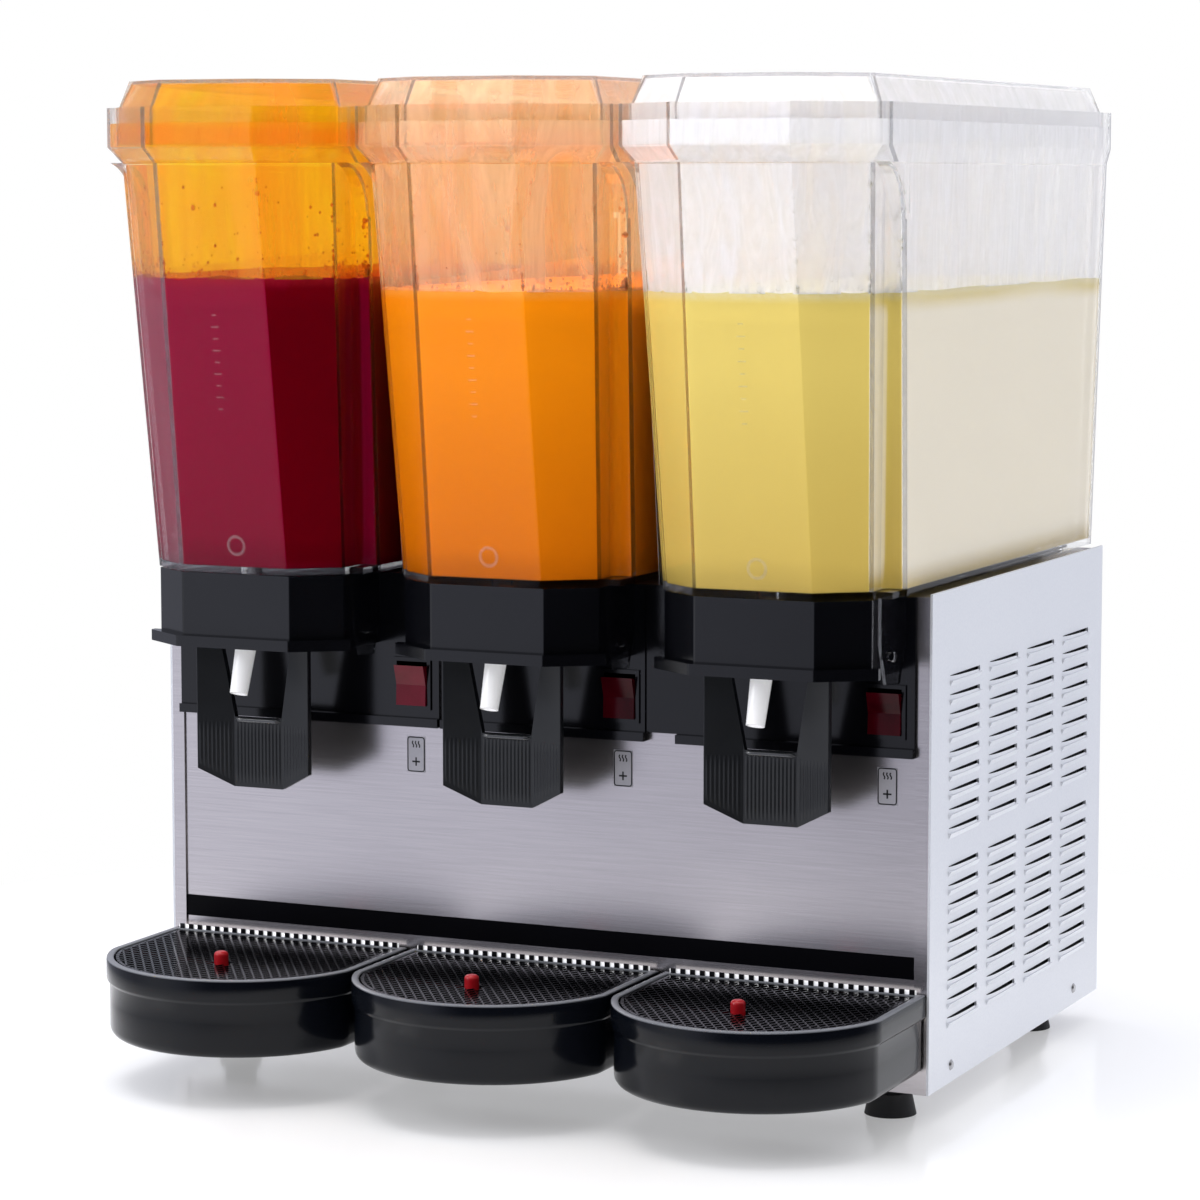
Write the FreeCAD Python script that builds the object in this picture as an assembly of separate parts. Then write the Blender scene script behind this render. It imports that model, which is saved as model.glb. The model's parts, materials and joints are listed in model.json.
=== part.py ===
import FreeCAD
import Part
import math
import os

# Three-bowl refrigerated drink dispenser, millimetres.
# X runs across the machine, Y runs from the front (-) to the back (+), Z is up.
# The origin is the middle of the overall footprint, on the surface the feet stand on.
# Lengths marked "from the panel" are measured backwards from the face of the front panel.

V = FreeCAD.Vector
os.makedirs("parts", exist_ok=True)

# ---- overall ----
PITCH = 180.0              # distance between bowl centres
SIDE_MARGIN = 0.0          # case past the outer bowls' share of the width, each side
CASE_W = 3 * PITCH + 2 * SIDE_MARGIN
NEIGHBOUR_GAP = 4.0        # between the rims, and between the trays, of two neighbours
CASE_D = 352.0             # face of the front panel to the back of the case
CASE_BASE = 20.0           # underside of the case above the floor
CASE_TOP = 333.0           # top edge of the side panels
DECK_TOP = CASE_TOP - 2.0  # top of the deck and of the front and rear panels
SHEET = 1.5                # sheet metal thickness
TRAY_REACH = 150.0         # drip trays stand this far out of the front panel
BOWL_OVERHANG = 24.0       # bowl rims pass the back of the case by this much
FIT = 0.4                  # clearance between a moving piece and what it moves in

FRONT = TRAY_REACH - (TRAY_REACH + CASE_D + BOWL_OVERHANG) / 2
SIDES = (("left", -PITCH), ("middle", 0.0), ("right", PITCH))

# ---- front panel and fascia ----
EDGE_STRIP = 8.5           # folded strip down each side of the front panel
PANEL_STEP = 1.5           # the panel's middle lies this far behind its edge strips
STRIPE_LOW = 92.2          # black band across the panel
STRIPE_HIGH = 106.3
STRIPE_THICK = 0.5
FASCIA_LOW = DECK_TOP - 99.7       # underside of the black fascia's ledge
LEDGE_H = 5.7              # height of that ledge
LEDGE_OUT = 6.0            # ledge stands this far out of the panel
FASCIA_OUT = 3.0           # rest of the fascia stands out this far
FASCIA_GAP = 2.0           # gap between the left and middle fascia
FASCIA_SPLIT = 1.3         # gap's left edge, in from the middle collar's side
FILLER_W = 22.0            # plain filler between the middle and right fascia
FILLER_BACK = 1.5          # filler lies this far behind the fascias

# ---- switches ----
SWITCH_W = 22.0
SWITCH_H = 29.0
SWITCH_Z = DECK_TOP - 71.5 # centre height of the switches
SWITCH_BEZEL = 2.5         # frame around each rocker
SWITCH_FROM_CENTRE = (94.0, 62.0, 61.0)   # switch centre from its own bowl's centre
ROCKER_TILT = 7.0          # degrees either side of level
ROCKER_OUT = 5.0
TRUNNION_R = 1.5           # stub each side of a rocker, in a blind hole of its frame
TRUNNION_IN = 1.2
LABEL_W = 13.0
LABEL_H = 23.5
LABEL_TOP = FASCIA_LOW - 7.3
LABEL_THICK = 0.3

# ---- widths that follow one another: the lever in its collar, the collar under its bowl ----
LEVER_HALF = 41.5
COLLAR_ROOM = 26.8         # from the lever's edge to the collar's side: bearing, spring and wall
COLLAR_SIDE = (LEVER_HALF + COLLAR_ROOM, -48.2)

# ---- bowls: half outlines, x from the bowl's centre and y from the panel ----
BOWL_LOW = DECK_TOP + 3.0  # underside of the bowl floor
NOSE_TOP = BOWL_LOW + 262.0        # where the wall starts to flare out to the rim
RIM_LOW = NOSE_TOP + 10.0
RIM_TOP = RIM_LOW + 25.0
BOWL_WALL = 3.5
BOWL_FLOOR = 4.0
RIM_HALF = (PITCH - NEIGHBOUR_GAP) / 2
BODY_HALF_LOW = RIM_HALF - 6.0
BODY_HALF_HIGH = RIM_HALF - 1.5
NOSE_FACET_LOW = (39.0, -72.0)     # edge of the flat front facet, at the bottom
NOSE_FACET_HIGH = (36.5, -104.0)
NOSE_SIDE_LOW = (COLLAR_SIDE[0] + 0.7, -48.0)  # back edge of the slanting facet
NOSE_SIDE_HIGH = (BODY_HALF_HIGH - 9.0, -74.0)
FLUTE_LOW = -26.0                  # back of the upright flute, from the panel
FLUTE_HIGH = -46.0
BODY_BACK_LOW = CASE_D + 10.0
BODY_BACK_HIGH = CASE_D + 20.0
RIM_FACET = (39.0, -114.0)
RIM_SIDE = (RIM_HALF - 2.0, -78.0)
EDGE_R = 2.5               # rounding of the facet edges
FLUTE_R = 5.0              # rounding inside the flute
BACK_R = 14.0              # rounding of the two back corners
ARCH_DROP = 34.0           # height of the arch that ends the flute under the rim
HOOK_LOW = BOWL_LOW - 53.0 # tip of the clear tongue beside the collar
HOOK_TIP_W = 11.0
HOOK_TAPER = 24.0          # the tongue narrows over this height
HOOK_THICK = 3.0
HOOK_GAP = 1.2             # between the tongue and the collar
HOOK_HOLE_R = 3.0
HOOK_FRONT = -43.0         # front edge of the tongue, from the panel

# ---- lids ----
LID_GAP = 4.0              # between the inside of the rim and the lid's skirt
LID_WALL = 2.5
LID_SKIRT_LOW = RIM_LOW + 1.0
LID_TOP = RIM_TOP + 17.0
LID_TAPER = 7.0            # the lid's top is this much smaller all round than its skirt

# ---- collars under the bowls ----
COLLAR_LOW = BOWL_LOW - 49.0
COLLAR_FACET = (39.5, -68.6)
COLLAR_WALL = 3.0
LIP_H = 7.0
LIP_OUT = 5.5
LIP_PAST = 2.0             # lip ends this far behind the corner of the collar
COLLAR_TOP_GAP = 1.0       # between the collar's top and the bowl

# ---- taps ----
PIVOT_Y = -46.0            # lever pivot, from the panel
PIVOT_Z = BOWL_LOW - 34.0
BOSS_R = 6.0               # boss round each pin, and half the width of its bearing
PIN_R = 2.5
PIN_CLEAR = 0.06
SPRING_R = 4.1             # mean radius of the lever's coil spring
SPRING_WIRE = 1.2
SPRING_PITCH = 2.0
SPRING_LEN = 8.0
SPRING_GAP = 1.0
LEVER_FACET_HALF = 18.0
LEVER_FACE_Y = -41.0       # front of the middle facet
LEVER_WING_OUT = 8.0       # wings come forward of the middle facet by this much
LEVER_THICK = 4.5
LEVER_LOW = PIVOT_Z - 110.0
LEVER_WING_LOW = LEVER_LOW + 12.5
LEVER_LEDGE = PIVOT_Z - 64.0       # top of the middle facet
LEVER_TOP = PIVOT_Z + BOSS_R
WINDOW_HALF_HIGH = 25.0    # half width of the window between the arms, at the top
NOZZLE_TIP = (-66.0, BOWL_LOW - 79.0)      # y from the panel, z
NOZZLE_SLOPE = 0.34         # forward for each millimetre down
NOZZLE_TIP_R = 5.8
NOZZLE_ROOT_R = 7.2
NOZZLE_BORE_R = 4.2
CHAMBER_R = 9.5
CHAMBER_BORE_R = 7.2
CHAMBER_LEN = 36.0
SPOUT_TOP = NOZZLE_TIP[1] + 38.0   # where the spout widens into the chamber
SEAT_Z = SPOUT_TOP + 3.0   # seat of the piston
PISTON_HEAD = 4.0          # length of its cone
PISTON_BODY = 12.0
PISTON_STEM_R = 2.4
PISTON_STEM_LEN = 36.0
PISTON_STEM_UP = 8.0       # stem starts this far above the nozzle's tip

# ---- cooling and pump ----
DECK_THICK = 3.0
COOLER_HALF = 48.0         # stainless cooling dome in each bowl
COOLER_FRONT = 150.0
COOLER_BACK = CASE_D - 18.0
COOLER_TOP = DECK_TOP + 54.0
COOLER_R = 20.0
COOLER_SKIN = 1.5
COOLER_ROUND = 10.0        # rounding of the dome's top edges
GASKET_W = 3.6
GASKET_FLANGE = 10.0
PUMP_Y = COOLER_BACK - 34.0        # pump axis, from the panel
IMPELLER_R = 20.0
IMPELLER_H = 8.0
IMPELLER_LIFT = 0.6        # gap under the impeller
IMPELLER_DISC = 2.5
IMPELLER_FIT = 0.08
VANE_THICK = 1.6
PUMP_WALL = 2.0
PUMP_ROOM = 3.0            # between the impeller and the cover
PUMP_COVER_R = IMPELLER_R + PUMP_ROOM + PUMP_WALL
PUMP_COVER_H = 15.0
PUMP_INTAKE = (4.0, 5.0)   # width and height of the cover's intake slots
SOCKET_UP = 8.0            # socket for the spray tube, above the cover
HUB_R = 5.0
SPINDLE_R = 1.5
SPINDLE_UP = 10.5
MAGNET_R = IMPELLER_R + 1.0
MAGNET_H = 8.0
MAGNET_BELOW = 2.0         # gap between the magnet and the dome
MOTOR_BELOW = 3.0          # gap between the motor and the magnet
MOTOR_R = 27.0
MOTOR_H = 46.0
MOTOR_SHAFT_R = 2.0
TUBE_R = 5.0
TUBE_BORE_R = 3.5
TUBE_TOP = NOSE_TOP + 1.0
SPRAY_HEAD_R = 12.0
SPRAY_HEAD_H = 6.0

# ---- drip trays ----
TRAY_HALF = (PITCH - NEIGHBOUR_GAP) / 2
TRAY_TOP = 84.0
TRAY_LOW = 33.0
TRAY_BAND = 15.0           # height of the proud band round the top
TRAY_BAND_OUT = 2.0
TRAY_WALL = 3.0
TRAY_CORNER_R = 25.0
TRAY_SIDE = 78.0           # straight length of each side
TRAY_BOTTOM_R = 6.0
TONGUE_X = 50.0            # two tongues hang each tray in slots in the panel
TONGUE_W = 20.0
TONGUE_H = 6.0
TONGUE_Z = 58.0
TONGUE_IN = 8.0
GRILLE_THICK = 3.0
GRILLE_BELOW = 0.8         # grille's top below the tray's rim
GRILLE_GAP = 1.0
SLOT_W = 5.0
SLOT_PITCH = 9.5
FLOAT_Y = -92.0
FLOAT_R = 4.6
FLOAT_TOP = 91.0
FLOAT_DISC_R = 16.0

# ---- louvres in the side panels ----
LOUVRE_L = (CASE_D - 46.0) / 4 - 19.5
LOUVRE_H = 3.4
LOUVRE_PITCH_Y = (CASE_D - 46.0) / 4
LOUVRE_PITCH_Z = 12.03
LOUVRE_FRONT = 34.0        # front end of the first column, from the panel
LOUVRE_LOW = 61.0          # lowest row
LOUVRE_ROWS = 19
LOUVRE_BLANK_ROW = 9
LOUVRE_COLUMNS = 4
LOUVRE_LIP = 1.8           # lip under each slit stands out this far

# ---- feet, screws and machinery ----
FOOT_R = 16.5
FOOT_FROM_SIDE = 35.0
FOOT_FROM_FRONT = 28.0
FOOT_FROM_BACK = 50.0
SCREW_R = 3.5
SCREW_HEAD = 1.2
SCREW_Z = 31.0
SCREW_Y = (42.0, CASE_D - 55.0)
REAR_SLOTS = (3, 12)       # columns and rows of slots in the rear panel
REAR_SLOT = (110.0, 5.0)   # length and height of one
REAR_SLOT_PITCH = (130.0, 14.0)
REAR_SLOT_LOW = 75.0
COMPRESSOR_R = 62.0
COMPRESSOR_Y = 130.0       # compressor axis, from the panel
COMPRESSOR_FROM_SIDE = 105.0
COMPRESSOR_LOW = 14.0      # pot above the pan
COMPRESSOR_HIGH = 130.0
COMPRESSOR_ROUND = 24.0
COMPRESSOR_FOOT = (70.0, 40.0, 4.0)        # half length, half width and thickness
COMPRESSOR_LEGS = (40.0, 25.0, 40.0, 8.0)  # x and y from its axis, height and radius
CONDENSER_BACK = CASE_D - 12.0
CONDENSER_THICK = 36.0
CONDENSER_HALF = 120.0
CONDENSER_H = 230.0
FIN_PITCH = 8.0
FAN_R = 80.0
FAN_Z = 152.0
FAN_FROM_FINS = 27.0       # front of the fan hub, in front of the condenser
FAN_HUB_R = 18.0
FAN_HUB_L = 14.0
FAN_MOTOR_R = 28.0
FAN_MOTOR_L = 50.0
FAN_SHAFT_R = 3.0
PIPE_R = 5.0
PIPE_Y = COOLER_FRONT + 40.0
PIPE_Z = DECK_TOP - 40.0
INLET_X = CASE_W / 2 - 42.0        # centre of the power inlet
INLET_Z = 62.0
INLET_HALF = (20.0, 16.0)  # half width and height of its face
THERMOSTAT = (30.0, 40.0, 50.0)    # width, depth and height
THERMOSTAT_AT = (-50.0, 20.0, DECK_TOP - 81.0)     # its corner, from its bowl's centre


def save(name, shape):
    """Write one sub-part, refused if it is empty or not a valid solid."""
    if not shape.Solids or not shape.isValid():
        raise ValueError("bad shape: " + name)
    shape.exportStep("parts/" + name + ".step")


def box(x0, x1, y0, y1, z0, z1):
    """Block between two corners; y is measured from the panel."""
    return Part.makeBox(x1 - x0, y1 - y0, z1 - z0, V(x0, FRONT + y0, z0))


def rod(x, y, z0, z1, radius):
    """Upright round bar; y is measured from the panel."""
    return Part.makeCylinder(radius, z1 - z0, V(x, FRONT + y, z0))


def bar_x(x0, x1, y, z, radius):
    """Round bar along X."""
    return Part.makeCylinder(radius, x1 - x0, V(x0, FRONT + y, z), V(1, 0, 0))


def mirrored(half):
    """Full outline from its right half, which runs from the front to the back."""
    return half + [(-x, y) for x, y in reversed(half)]


def inset(points, distance):
    """Outline moved inwards by a distance, for points that run anticlockwise."""
    moved = []
    count = len(points)
    for i in range(count):
        before = V(points[i - 1][0], points[i - 1][1], 0)
        here = V(points[i][0], points[i][1], 0)
        after = V(points[(i + 1) % count][0], points[(i + 1) % count][1], 0)
        come = (here - before).normalize()
        go = (after - here).normalize()
        n1 = V(-come.y, come.x, 0)
        n2 = V(-go.y, go.x, 0)
        reach = distance / (1 + n1.dot(n2))
        moved.append((here.x + (n1.x + n2.x) * reach, here.y + (n1.y + n2.y) * reach))
    return moved


def wire(points, radii, cx, z):
    """Closed outline at a height, its corners rounded; y is measured from the panel."""
    edges = []
    count = len(points)
    joints = []
    for i in range(count):
        here = V(cx + points[i][0], FRONT + points[i][1], z)
        before = V(cx + points[i - 1][0], FRONT + points[i - 1][1], z)
        nxt = points[(i + 1) % count]
        after = V(cx + nxt[0], FRONT + nxt[1], z)
        a = (before - here).normalize()
        b = (after - here).normalize()
        half = math.acos(max(-1.0, min(1.0, a.dot(b)))) / 2
        cut = radii[i] / math.tan(half)
        middle = (a + b).normalize()
        gap = radii[i] / math.sin(half) - radii[i]
        joints.append((here + a * cut, here + middle * gap, here + b * cut))
    for i in range(count):
        start, mid, end = joints[i]
        edges.append(Part.Arc(start, mid, end).toShape())
        edges.append(Part.LineSegment(end, joints[(i + 1) % count][0]).toShape())
    return Part.Wire(edges)


def prism(points, radii, cx, z0, z1):
    """Upright solid with one outline."""
    return Part.Face(wire(points, radii, cx, z0)).extrude(V(0, 0, z1 - z0))


def loft(sections, cx):
    """Solid through outlines at rising heights, each (points, radii, z)."""
    wires = [wire(points, radii, cx, z) for points, radii, z in sections]
    return Part.makeLoft(wires, True, True)


def blend(low, high, share):
    """Outline part of the way from one to another."""
    return [(a[0] + (b[0] - a[0]) * share, a[1] + (b[1] - a[1]) * share)
            for a, b in zip(low, high)]


# ---------------------------------------------------------------- bowls and lids

def bowl_half(low):
    """Right half of the bowl's outline below the rim: facet, slant, flute, side, back."""
    facet = NOSE_FACET_LOW if low else NOSE_FACET_HIGH
    side = NOSE_SIDE_LOW if low else NOSE_SIDE_HIGH
    flute = FLUTE_LOW if low else FLUTE_HIGH
    width = BODY_HALF_LOW if low else BODY_HALF_HIGH
    back = BODY_BACK_LOW if low else BODY_BACK_HIGH
    return [facet, side, (side[0], flute), (width, flute), (width, back)]


BOWL_RADII = [EDGE_R, EDGE_R, FLUTE_R, EDGE_R, BACK_R]
RIM_BACK = CASE_D + BOWL_OVERHANG


def both(values):
    return values + values[::-1]


def bowl_at(z, t):
    """Bowl outline at a height, moved in by t, with its corner radii."""
    share = (z - BOWL_LOW) / (NOSE_TOP - BOWL_LOW)
    points = blend(mirrored(bowl_half(True)), mirrored(bowl_half(False)), share)
    radii = [max(r - t, 0.6) for r in BOWL_RADII]
    radii[2] = FLUTE_R - EDGE_R + t
    return inset(points, t), both(radii)


def rim_at(t):
    half = [RIM_FACET, RIM_SIDE, (RIM_HALF, RIM_SIDE[1] + 6), (RIM_HALF, RIM_BACK)]
    radii = [max(r - t, 0.6) for r in (EDGE_R, EDGE_R, EDGE_R, BACK_R)]
    return inset(mirrored(half), t), both(radii)


def shoulder_at(t):
    """Outline at the foot of the flare, with the rim's corners."""
    half = [NOSE_FACET_HIGH, NOSE_SIDE_HIGH, (BODY_HALF_HIGH, NOSE_SIDE_HIGH[1] + 16),
            (BODY_HALF_HIGH, BODY_BACK_HIGH)]
    radii = [max(r - t, 0.6) for r in (EDGE_R, EDGE_R, EDGE_R, BACK_R)]
    return inset(mirrored(half), t), both(radii)


def arch(cx, t):
    """Wedge that closes the flute under the rim, with a round front seen from the side."""
    low = NOSE_TOP - ARCH_DROP + t
    front = NOSE_SIDE_HIGH[1] + t
    back = FLUTE_HIGH + 12
    top = NOSE_TOP
    width = BODY_HALF_HIGH - t
    reach = FLUTE_HIGH + t - front
    rise = top - low
    radius = (reach * reach + rise * rise) / (2 * reach)
    turn = math.asin(rise / radius) / 2
    start = V(cx - width, FRONT + FLUTE_HIGH + t, low)
    end = V(cx - width, FRONT + front, top)
    mid = V(cx - width, start.y - radius * (1 - math.cos(turn)), low + radius * math.sin(turn))
    outline = Part.Wire([
        Part.Arc(start, mid, end).toShape(),
        Part.LineSegment(end, V(cx - width, FRONT + back, top)).toShape(),
        Part.LineSegment(V(cx - width, FRONT + back, top),
                         V(cx - width, FRONT + back, low)).toShape(),
        Part.LineSegment(V(cx - width, FRONT + back, low), start).toShape()])
    return Part.Face(outline).extrude(V(2 * width, 0, 0))


def bowl_shape(cx, t, floor_z, top_z):
    """Outside of the bowl for t = 0, or its inside for t = the wall."""
    points, radii = bowl_at(floor_z, t)
    upper, upper_radii = bowl_at(NOSE_TOP, t)
    solid = loft([(points, radii, floor_z), (upper, upper_radii, NOSE_TOP)], cx)
    foot, foot_radii = shoulder_at(t)
    rim, rim_radii = rim_at(t)
    flare = loft([(foot, foot_radii, NOSE_TOP), (rim, rim_radii, RIM_LOW)], cx)
    band = prism(rim, rim_radii, cx, RIM_LOW, top_z)
    return solid.fuse([arch(cx, t), flare, band]).removeSplitter()


def hook(cx):
    """Clear tongue across the flute, beside the collar, with a round hole near its tip."""
    near = V(COLLAR_SIDE[0] + HOOK_GAP + HOOK_THICK, HOOK_FRONT, 0)
    far = V(BODY_HALF_LOW, FLUTE_LOW, 0)
    along = (far - near).normalize()
    width = (far - near).Length
    shape = [(0.0, BOWL_LOW + BOWL_FLOOR), (width, BOWL_LOW + BOWL_FLOOR),
             (width, HOOK_LOW + HOOK_TAPER), ((width + HOOK_TIP_W) / 2, HOOK_LOW),
             ((width - HOOK_TIP_W) / 2, HOOK_LOW), (0.0, HOOK_LOW + HOOK_TAPER)]
    points = [V(cx + near.x + along.x * u, FRONT + near.y + along.y * u, z) for u, z in shape]
    points.append(points[0])
    back = V(-along.y, along.x, 0)
    plate = Part.Face(Part.makePolygon(points)).extrude(back * HOOK_THICK)
    shelf = box(cx + NOSE_SIDE_LOW[0] - EDGE_R, cx + BODY_HALF_LOW - EDGE_R,
                HOOK_FRONT, FLUTE_LOW + EDGE_R, BOWL_LOW, BOWL_LOW + BOWL_FLOOR)
    plate = plate.fuse(shelf)
    centre = near + along * (width / 2)
    eye = V(cx + centre.x, FRONT + centre.y, HOOK_LOW + HOOK_TAPER * 0.7)
    return plate.cut(Part.makeCylinder(HOOK_HOLE_R, 20, eye - back * 10, back))


def cooler_outline(grow):
    half = [(COOLER_HALF + grow, COOLER_FRONT - grow), (COOLER_HALF + grow, COOLER_BACK + grow)]
    return mirrored(half), [COOLER_R + grow] * 4


def nozzle_y(z):
    """Where the nozzle's axis is at a height, from the panel."""
    return NOZZLE_TIP[0] + (z - NOZZLE_TIP[1]) * NOZZLE_SLOPE


NOZZLE_DIR = V(0, NOZZLE_SLOPE, 1).normalize()


def slanted(cx, z, r0, r1, length):
    """Cone or cylinder on the nozzle's axis, from a height upwards."""
    foot = V(cx, FRONT + nozzle_y(z), z)
    if abs(r0 - r1) < 1e-6:
        return Part.makeCylinder(r0, length, foot, NOZZLE_DIR)
    return Part.makeCone(r0, r1, length, foot, NOZZLE_DIR)


def bowl(cx):
    body = bowl_shape(cx, 0.0, BOWL_LOW, RIM_TOP)
    hollow = bowl_shape(cx, BOWL_WALL, BOWL_LOW + BOWL_FLOOR, RIM_TOP + 1)
    points, radii = cooler_outline(GASKET_W + FIT)
    hole = prism(points, radii, cx, BOWL_LOW - 1, BOWL_LOW + BOWL_FLOOR + 1)
    outlet = rod(cx, nozzle_y(BOWL_LOW), BOWL_LOW - 1, BOWL_LOW + BOWL_FLOOR + 1, CHAMBER_BORE_R)
    shell = body.cut([hollow, hole, outlet])
    return shell.fuse(hook(cx)).removeSplitter()


def lid(cx):
    t = BOWL_WALL + LID_GAP

    def shell(extra, low, high):
        points, radii = rim_at(t + extra)
        upper, upper_radii = rim_at(t + extra + LID_TAPER)
        skirt = prism(points, radii, cx, low, RIM_TOP)
        crown = loft([(points, radii, RIM_TOP), (upper, upper_radii, high)], cx)
        return skirt.fuse(crown)

    return shell(0.0, LID_SKIRT_LOW, LID_TOP).cut(
        shell(LID_WALL, LID_SKIRT_LOW - 1, LID_TOP - LID_WALL)).removeSplitter()


# ---------------------------------------------------------------- collars and taps

def collar(cx):
    top = BOWL_LOW - COLLAR_TOP_GAP
    back = -FASCIA_OUT
    half = [COLLAR_FACET, COLLAR_SIDE, (COLLAR_SIDE[0], back)]
    radii = both([EDGE_R, EDGE_R, 0.6])
    body = prism(mirrored(half), radii, cx, COLLAR_LOW, top)
    lip_half = inset(mirrored(half), -LIP_OUT)[:3]
    lip_half[2] = (lip_half[2][0], COLLAR_SIDE[1] + LIP_PAST)
    lip = prism(mirrored(lip_half), both([EDGE_R, 1.0, 0.6]), cx, COLLAR_LOW, COLLAR_LOW + LIP_H)
    inner = inset(mirrored(half), COLLAR_WALL)
    hollow = prism(inner, both([0.6, 0.6, 0.6]), cx, COLLAR_LOW - 1, top - COLLAR_WALL)
    passage = slanted(cx, COLLAR_LOW, CHAMBER_R + FIT, CHAMBER_R + FIT, 70)
    shell = body.fuse(lip).cut([hollow, passage])
    bearings = []
    for side in (-1, 1):
        x0 = side * (LEVER_HALF + FIT)
        x1 = side * (LEVER_HALF + FIT + COLLAR_WALL)
        bearings.append(box(cx + min(x0, x1), cx + max(x0, x1), PIVOT_Y - BOSS_R, PIVOT_Y + BOSS_R,
                            PIVOT_Z - BOSS_R, top - COLLAR_WALL))
    holes = bar_x(cx - 60, cx + 60, PIVOT_Y, PIVOT_Z, PIN_R)
    return shell.fuse(bearings).cut(holes).removeSplitter()


def lever(cx):
    """Hanging handle: a middle facet, two wings that come forward, and two arms."""
    wing_y = LEVER_FACE_Y - LEVER_WING_OUT
    plan = [(-LEVER_HALF, wing_y), (-LEVER_FACET_HALF, LEVER_FACE_Y),
            (LEVER_FACET_HALF, LEVER_FACE_Y), (LEVER_HALF, wing_y),
            (LEVER_HALF, wing_y + LEVER_THICK), (LEVER_FACET_HALF, LEVER_FACE_Y + LEVER_THICK),
            (-LEVER_FACET_HALF, LEVER_FACE_Y + LEVER_THICK), (-LEVER_HALF, wing_y + LEVER_THICK)]
    channel = prism(plan, [0.6] * len(plan), cx, LEVER_LOW, LEVER_TOP)
    y0 = FRONT + wing_y - 5
    face = [(-LEVER_HALF - 1, LEVER_LOW - 1), (LEVER_HALF + 1, LEVER_LOW - 1),
            (LEVER_HALF + 1, LEVER_WING_LOW), (LEVER_FACET_HALF, LEVER_LOW),
            (-LEVER_FACET_HALF, LEVER_LOW), (-LEVER_HALF - 1, LEVER_WING_LOW)]
    window = [(-LEVER_FACET_HALF + 0.7, LEVER_LEDGE), (LEVER_FACET_HALF - 0.7, LEVER_LEDGE),
              (WINDOW_HALF_HIGH, LEVER_TOP - 26), (WINDOW_HALF_HIGH, LEVER_TOP + 1),
              (-WINDOW_HALF_HIGH, LEVER_TOP + 1), (-WINDOW_HALF_HIGH, LEVER_TOP - 26)]
    cuts = []
    for outline in (face, window):
        points = [V(cx + x, y0, z) for x, z in outline]
        points.append(points[0])
        cuts.append(Part.Face(Part.makePolygon(points)).extrude(V(0, 30, 0)))
    bosses = []
    for side in (-1, 1):
        x0 = side * (WINDOW_HALF_HIGH + 4)
        x1 = side * LEVER_HALF
        bosses.append(bar_x(cx + min(x0, x1), cx + max(x0, x1), PIVOT_Y, PIVOT_Z, BOSS_R))
    bore = bar_x(cx - 60, cx + 60, PIVOT_Y, PIVOT_Z, PIN_R + PIN_CLEAR)
    return channel.cut(cuts).fuse(bosses).cut(bore).removeSplitter()


def lever_pin(cx, side):
    """Stub pin from the collar's bearing into the lever's boss."""
    x0 = side * (WINDOW_HALF_HIGH + 5)
    x1 = side * (LEVER_HALF + FIT + COLLAR_WALL)
    return bar_x(cx + min(x0, x1), cx + max(x0, x1), PIVOT_Y, PIVOT_Z, PIN_R)


def lever_spring(cx):
    """Torsion coil of square wire, outside the right-hand bearing and in line with the pins."""
    coil = Part.makeHelix(SPRING_PITCH, SPRING_LEN, SPRING_R)
    half = SPRING_WIRE / 2
    corners = [V(SPRING_R + a * half, 0, b * half) for a, b in ((-1, -1), (1, -1), (1, 1), (-1, 1))]
    section = Part.makePolygon(corners + corners[:1])
    spring = Part.Wire(coil.Edges).makePipeShell([section], True, True)
    x0 = cx + LEVER_HALF + FIT + COLLAR_WALL + SPRING_GAP
    spring.Placement = FreeCAD.Placement(V(x0, FRONT + PIVOT_Y, PIVOT_Z),
                                         FreeCAD.Rotation(V(0, 0, 1), V(1, 0, 0)))
    return spring


def nozzle(cx):
    length = (SPOUT_TOP - NOZZLE_TIP[1]) / NOZZLE_DIR.z
    spout = slanted(cx, NOZZLE_TIP[1], NOZZLE_TIP_R, NOZZLE_ROOT_R, length)
    chamber = slanted(cx, SPOUT_TOP, CHAMBER_R, CHAMBER_R, CHAMBER_LEN)
    bore = slanted(cx, NOZZLE_TIP[1] - 3, NOZZLE_BORE_R, NOZZLE_BORE_R, length + 8)
    pocket = slanted(cx, SEAT_Z, CHAMBER_BORE_R, CHAMBER_BORE_R, CHAMBER_LEN + 2)
    flat = box(cx - 20, cx + 20, -80, 0, BOWL_LOW - FIT, BOWL_LOW + 30)
    return spout.fuse(chamber).cut([bore, pocket, flat]).removeSplitter()


def piston(cx):
    """Plug with a cone on its seat, and the stem that the lever lifts."""
    radius = CHAMBER_BORE_R - FIT
    low = SEAT_Z + FIT
    head = slanted(cx, low, NOZZLE_BORE_R, radius, PISTON_HEAD)
    body = slanted(cx, low + PISTON_HEAD * NOZZLE_DIR.z, radius, radius, PISTON_BODY)
    stem = slanted(cx, NOZZLE_TIP[1] + PISTON_STEM_UP, PISTON_STEM_R, PISTON_STEM_R, PISTON_STEM_LEN)
    return head.fuse([body, stem]).removeSplitter()


# ---------------------------------------------------------------- cooling and pump

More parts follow.
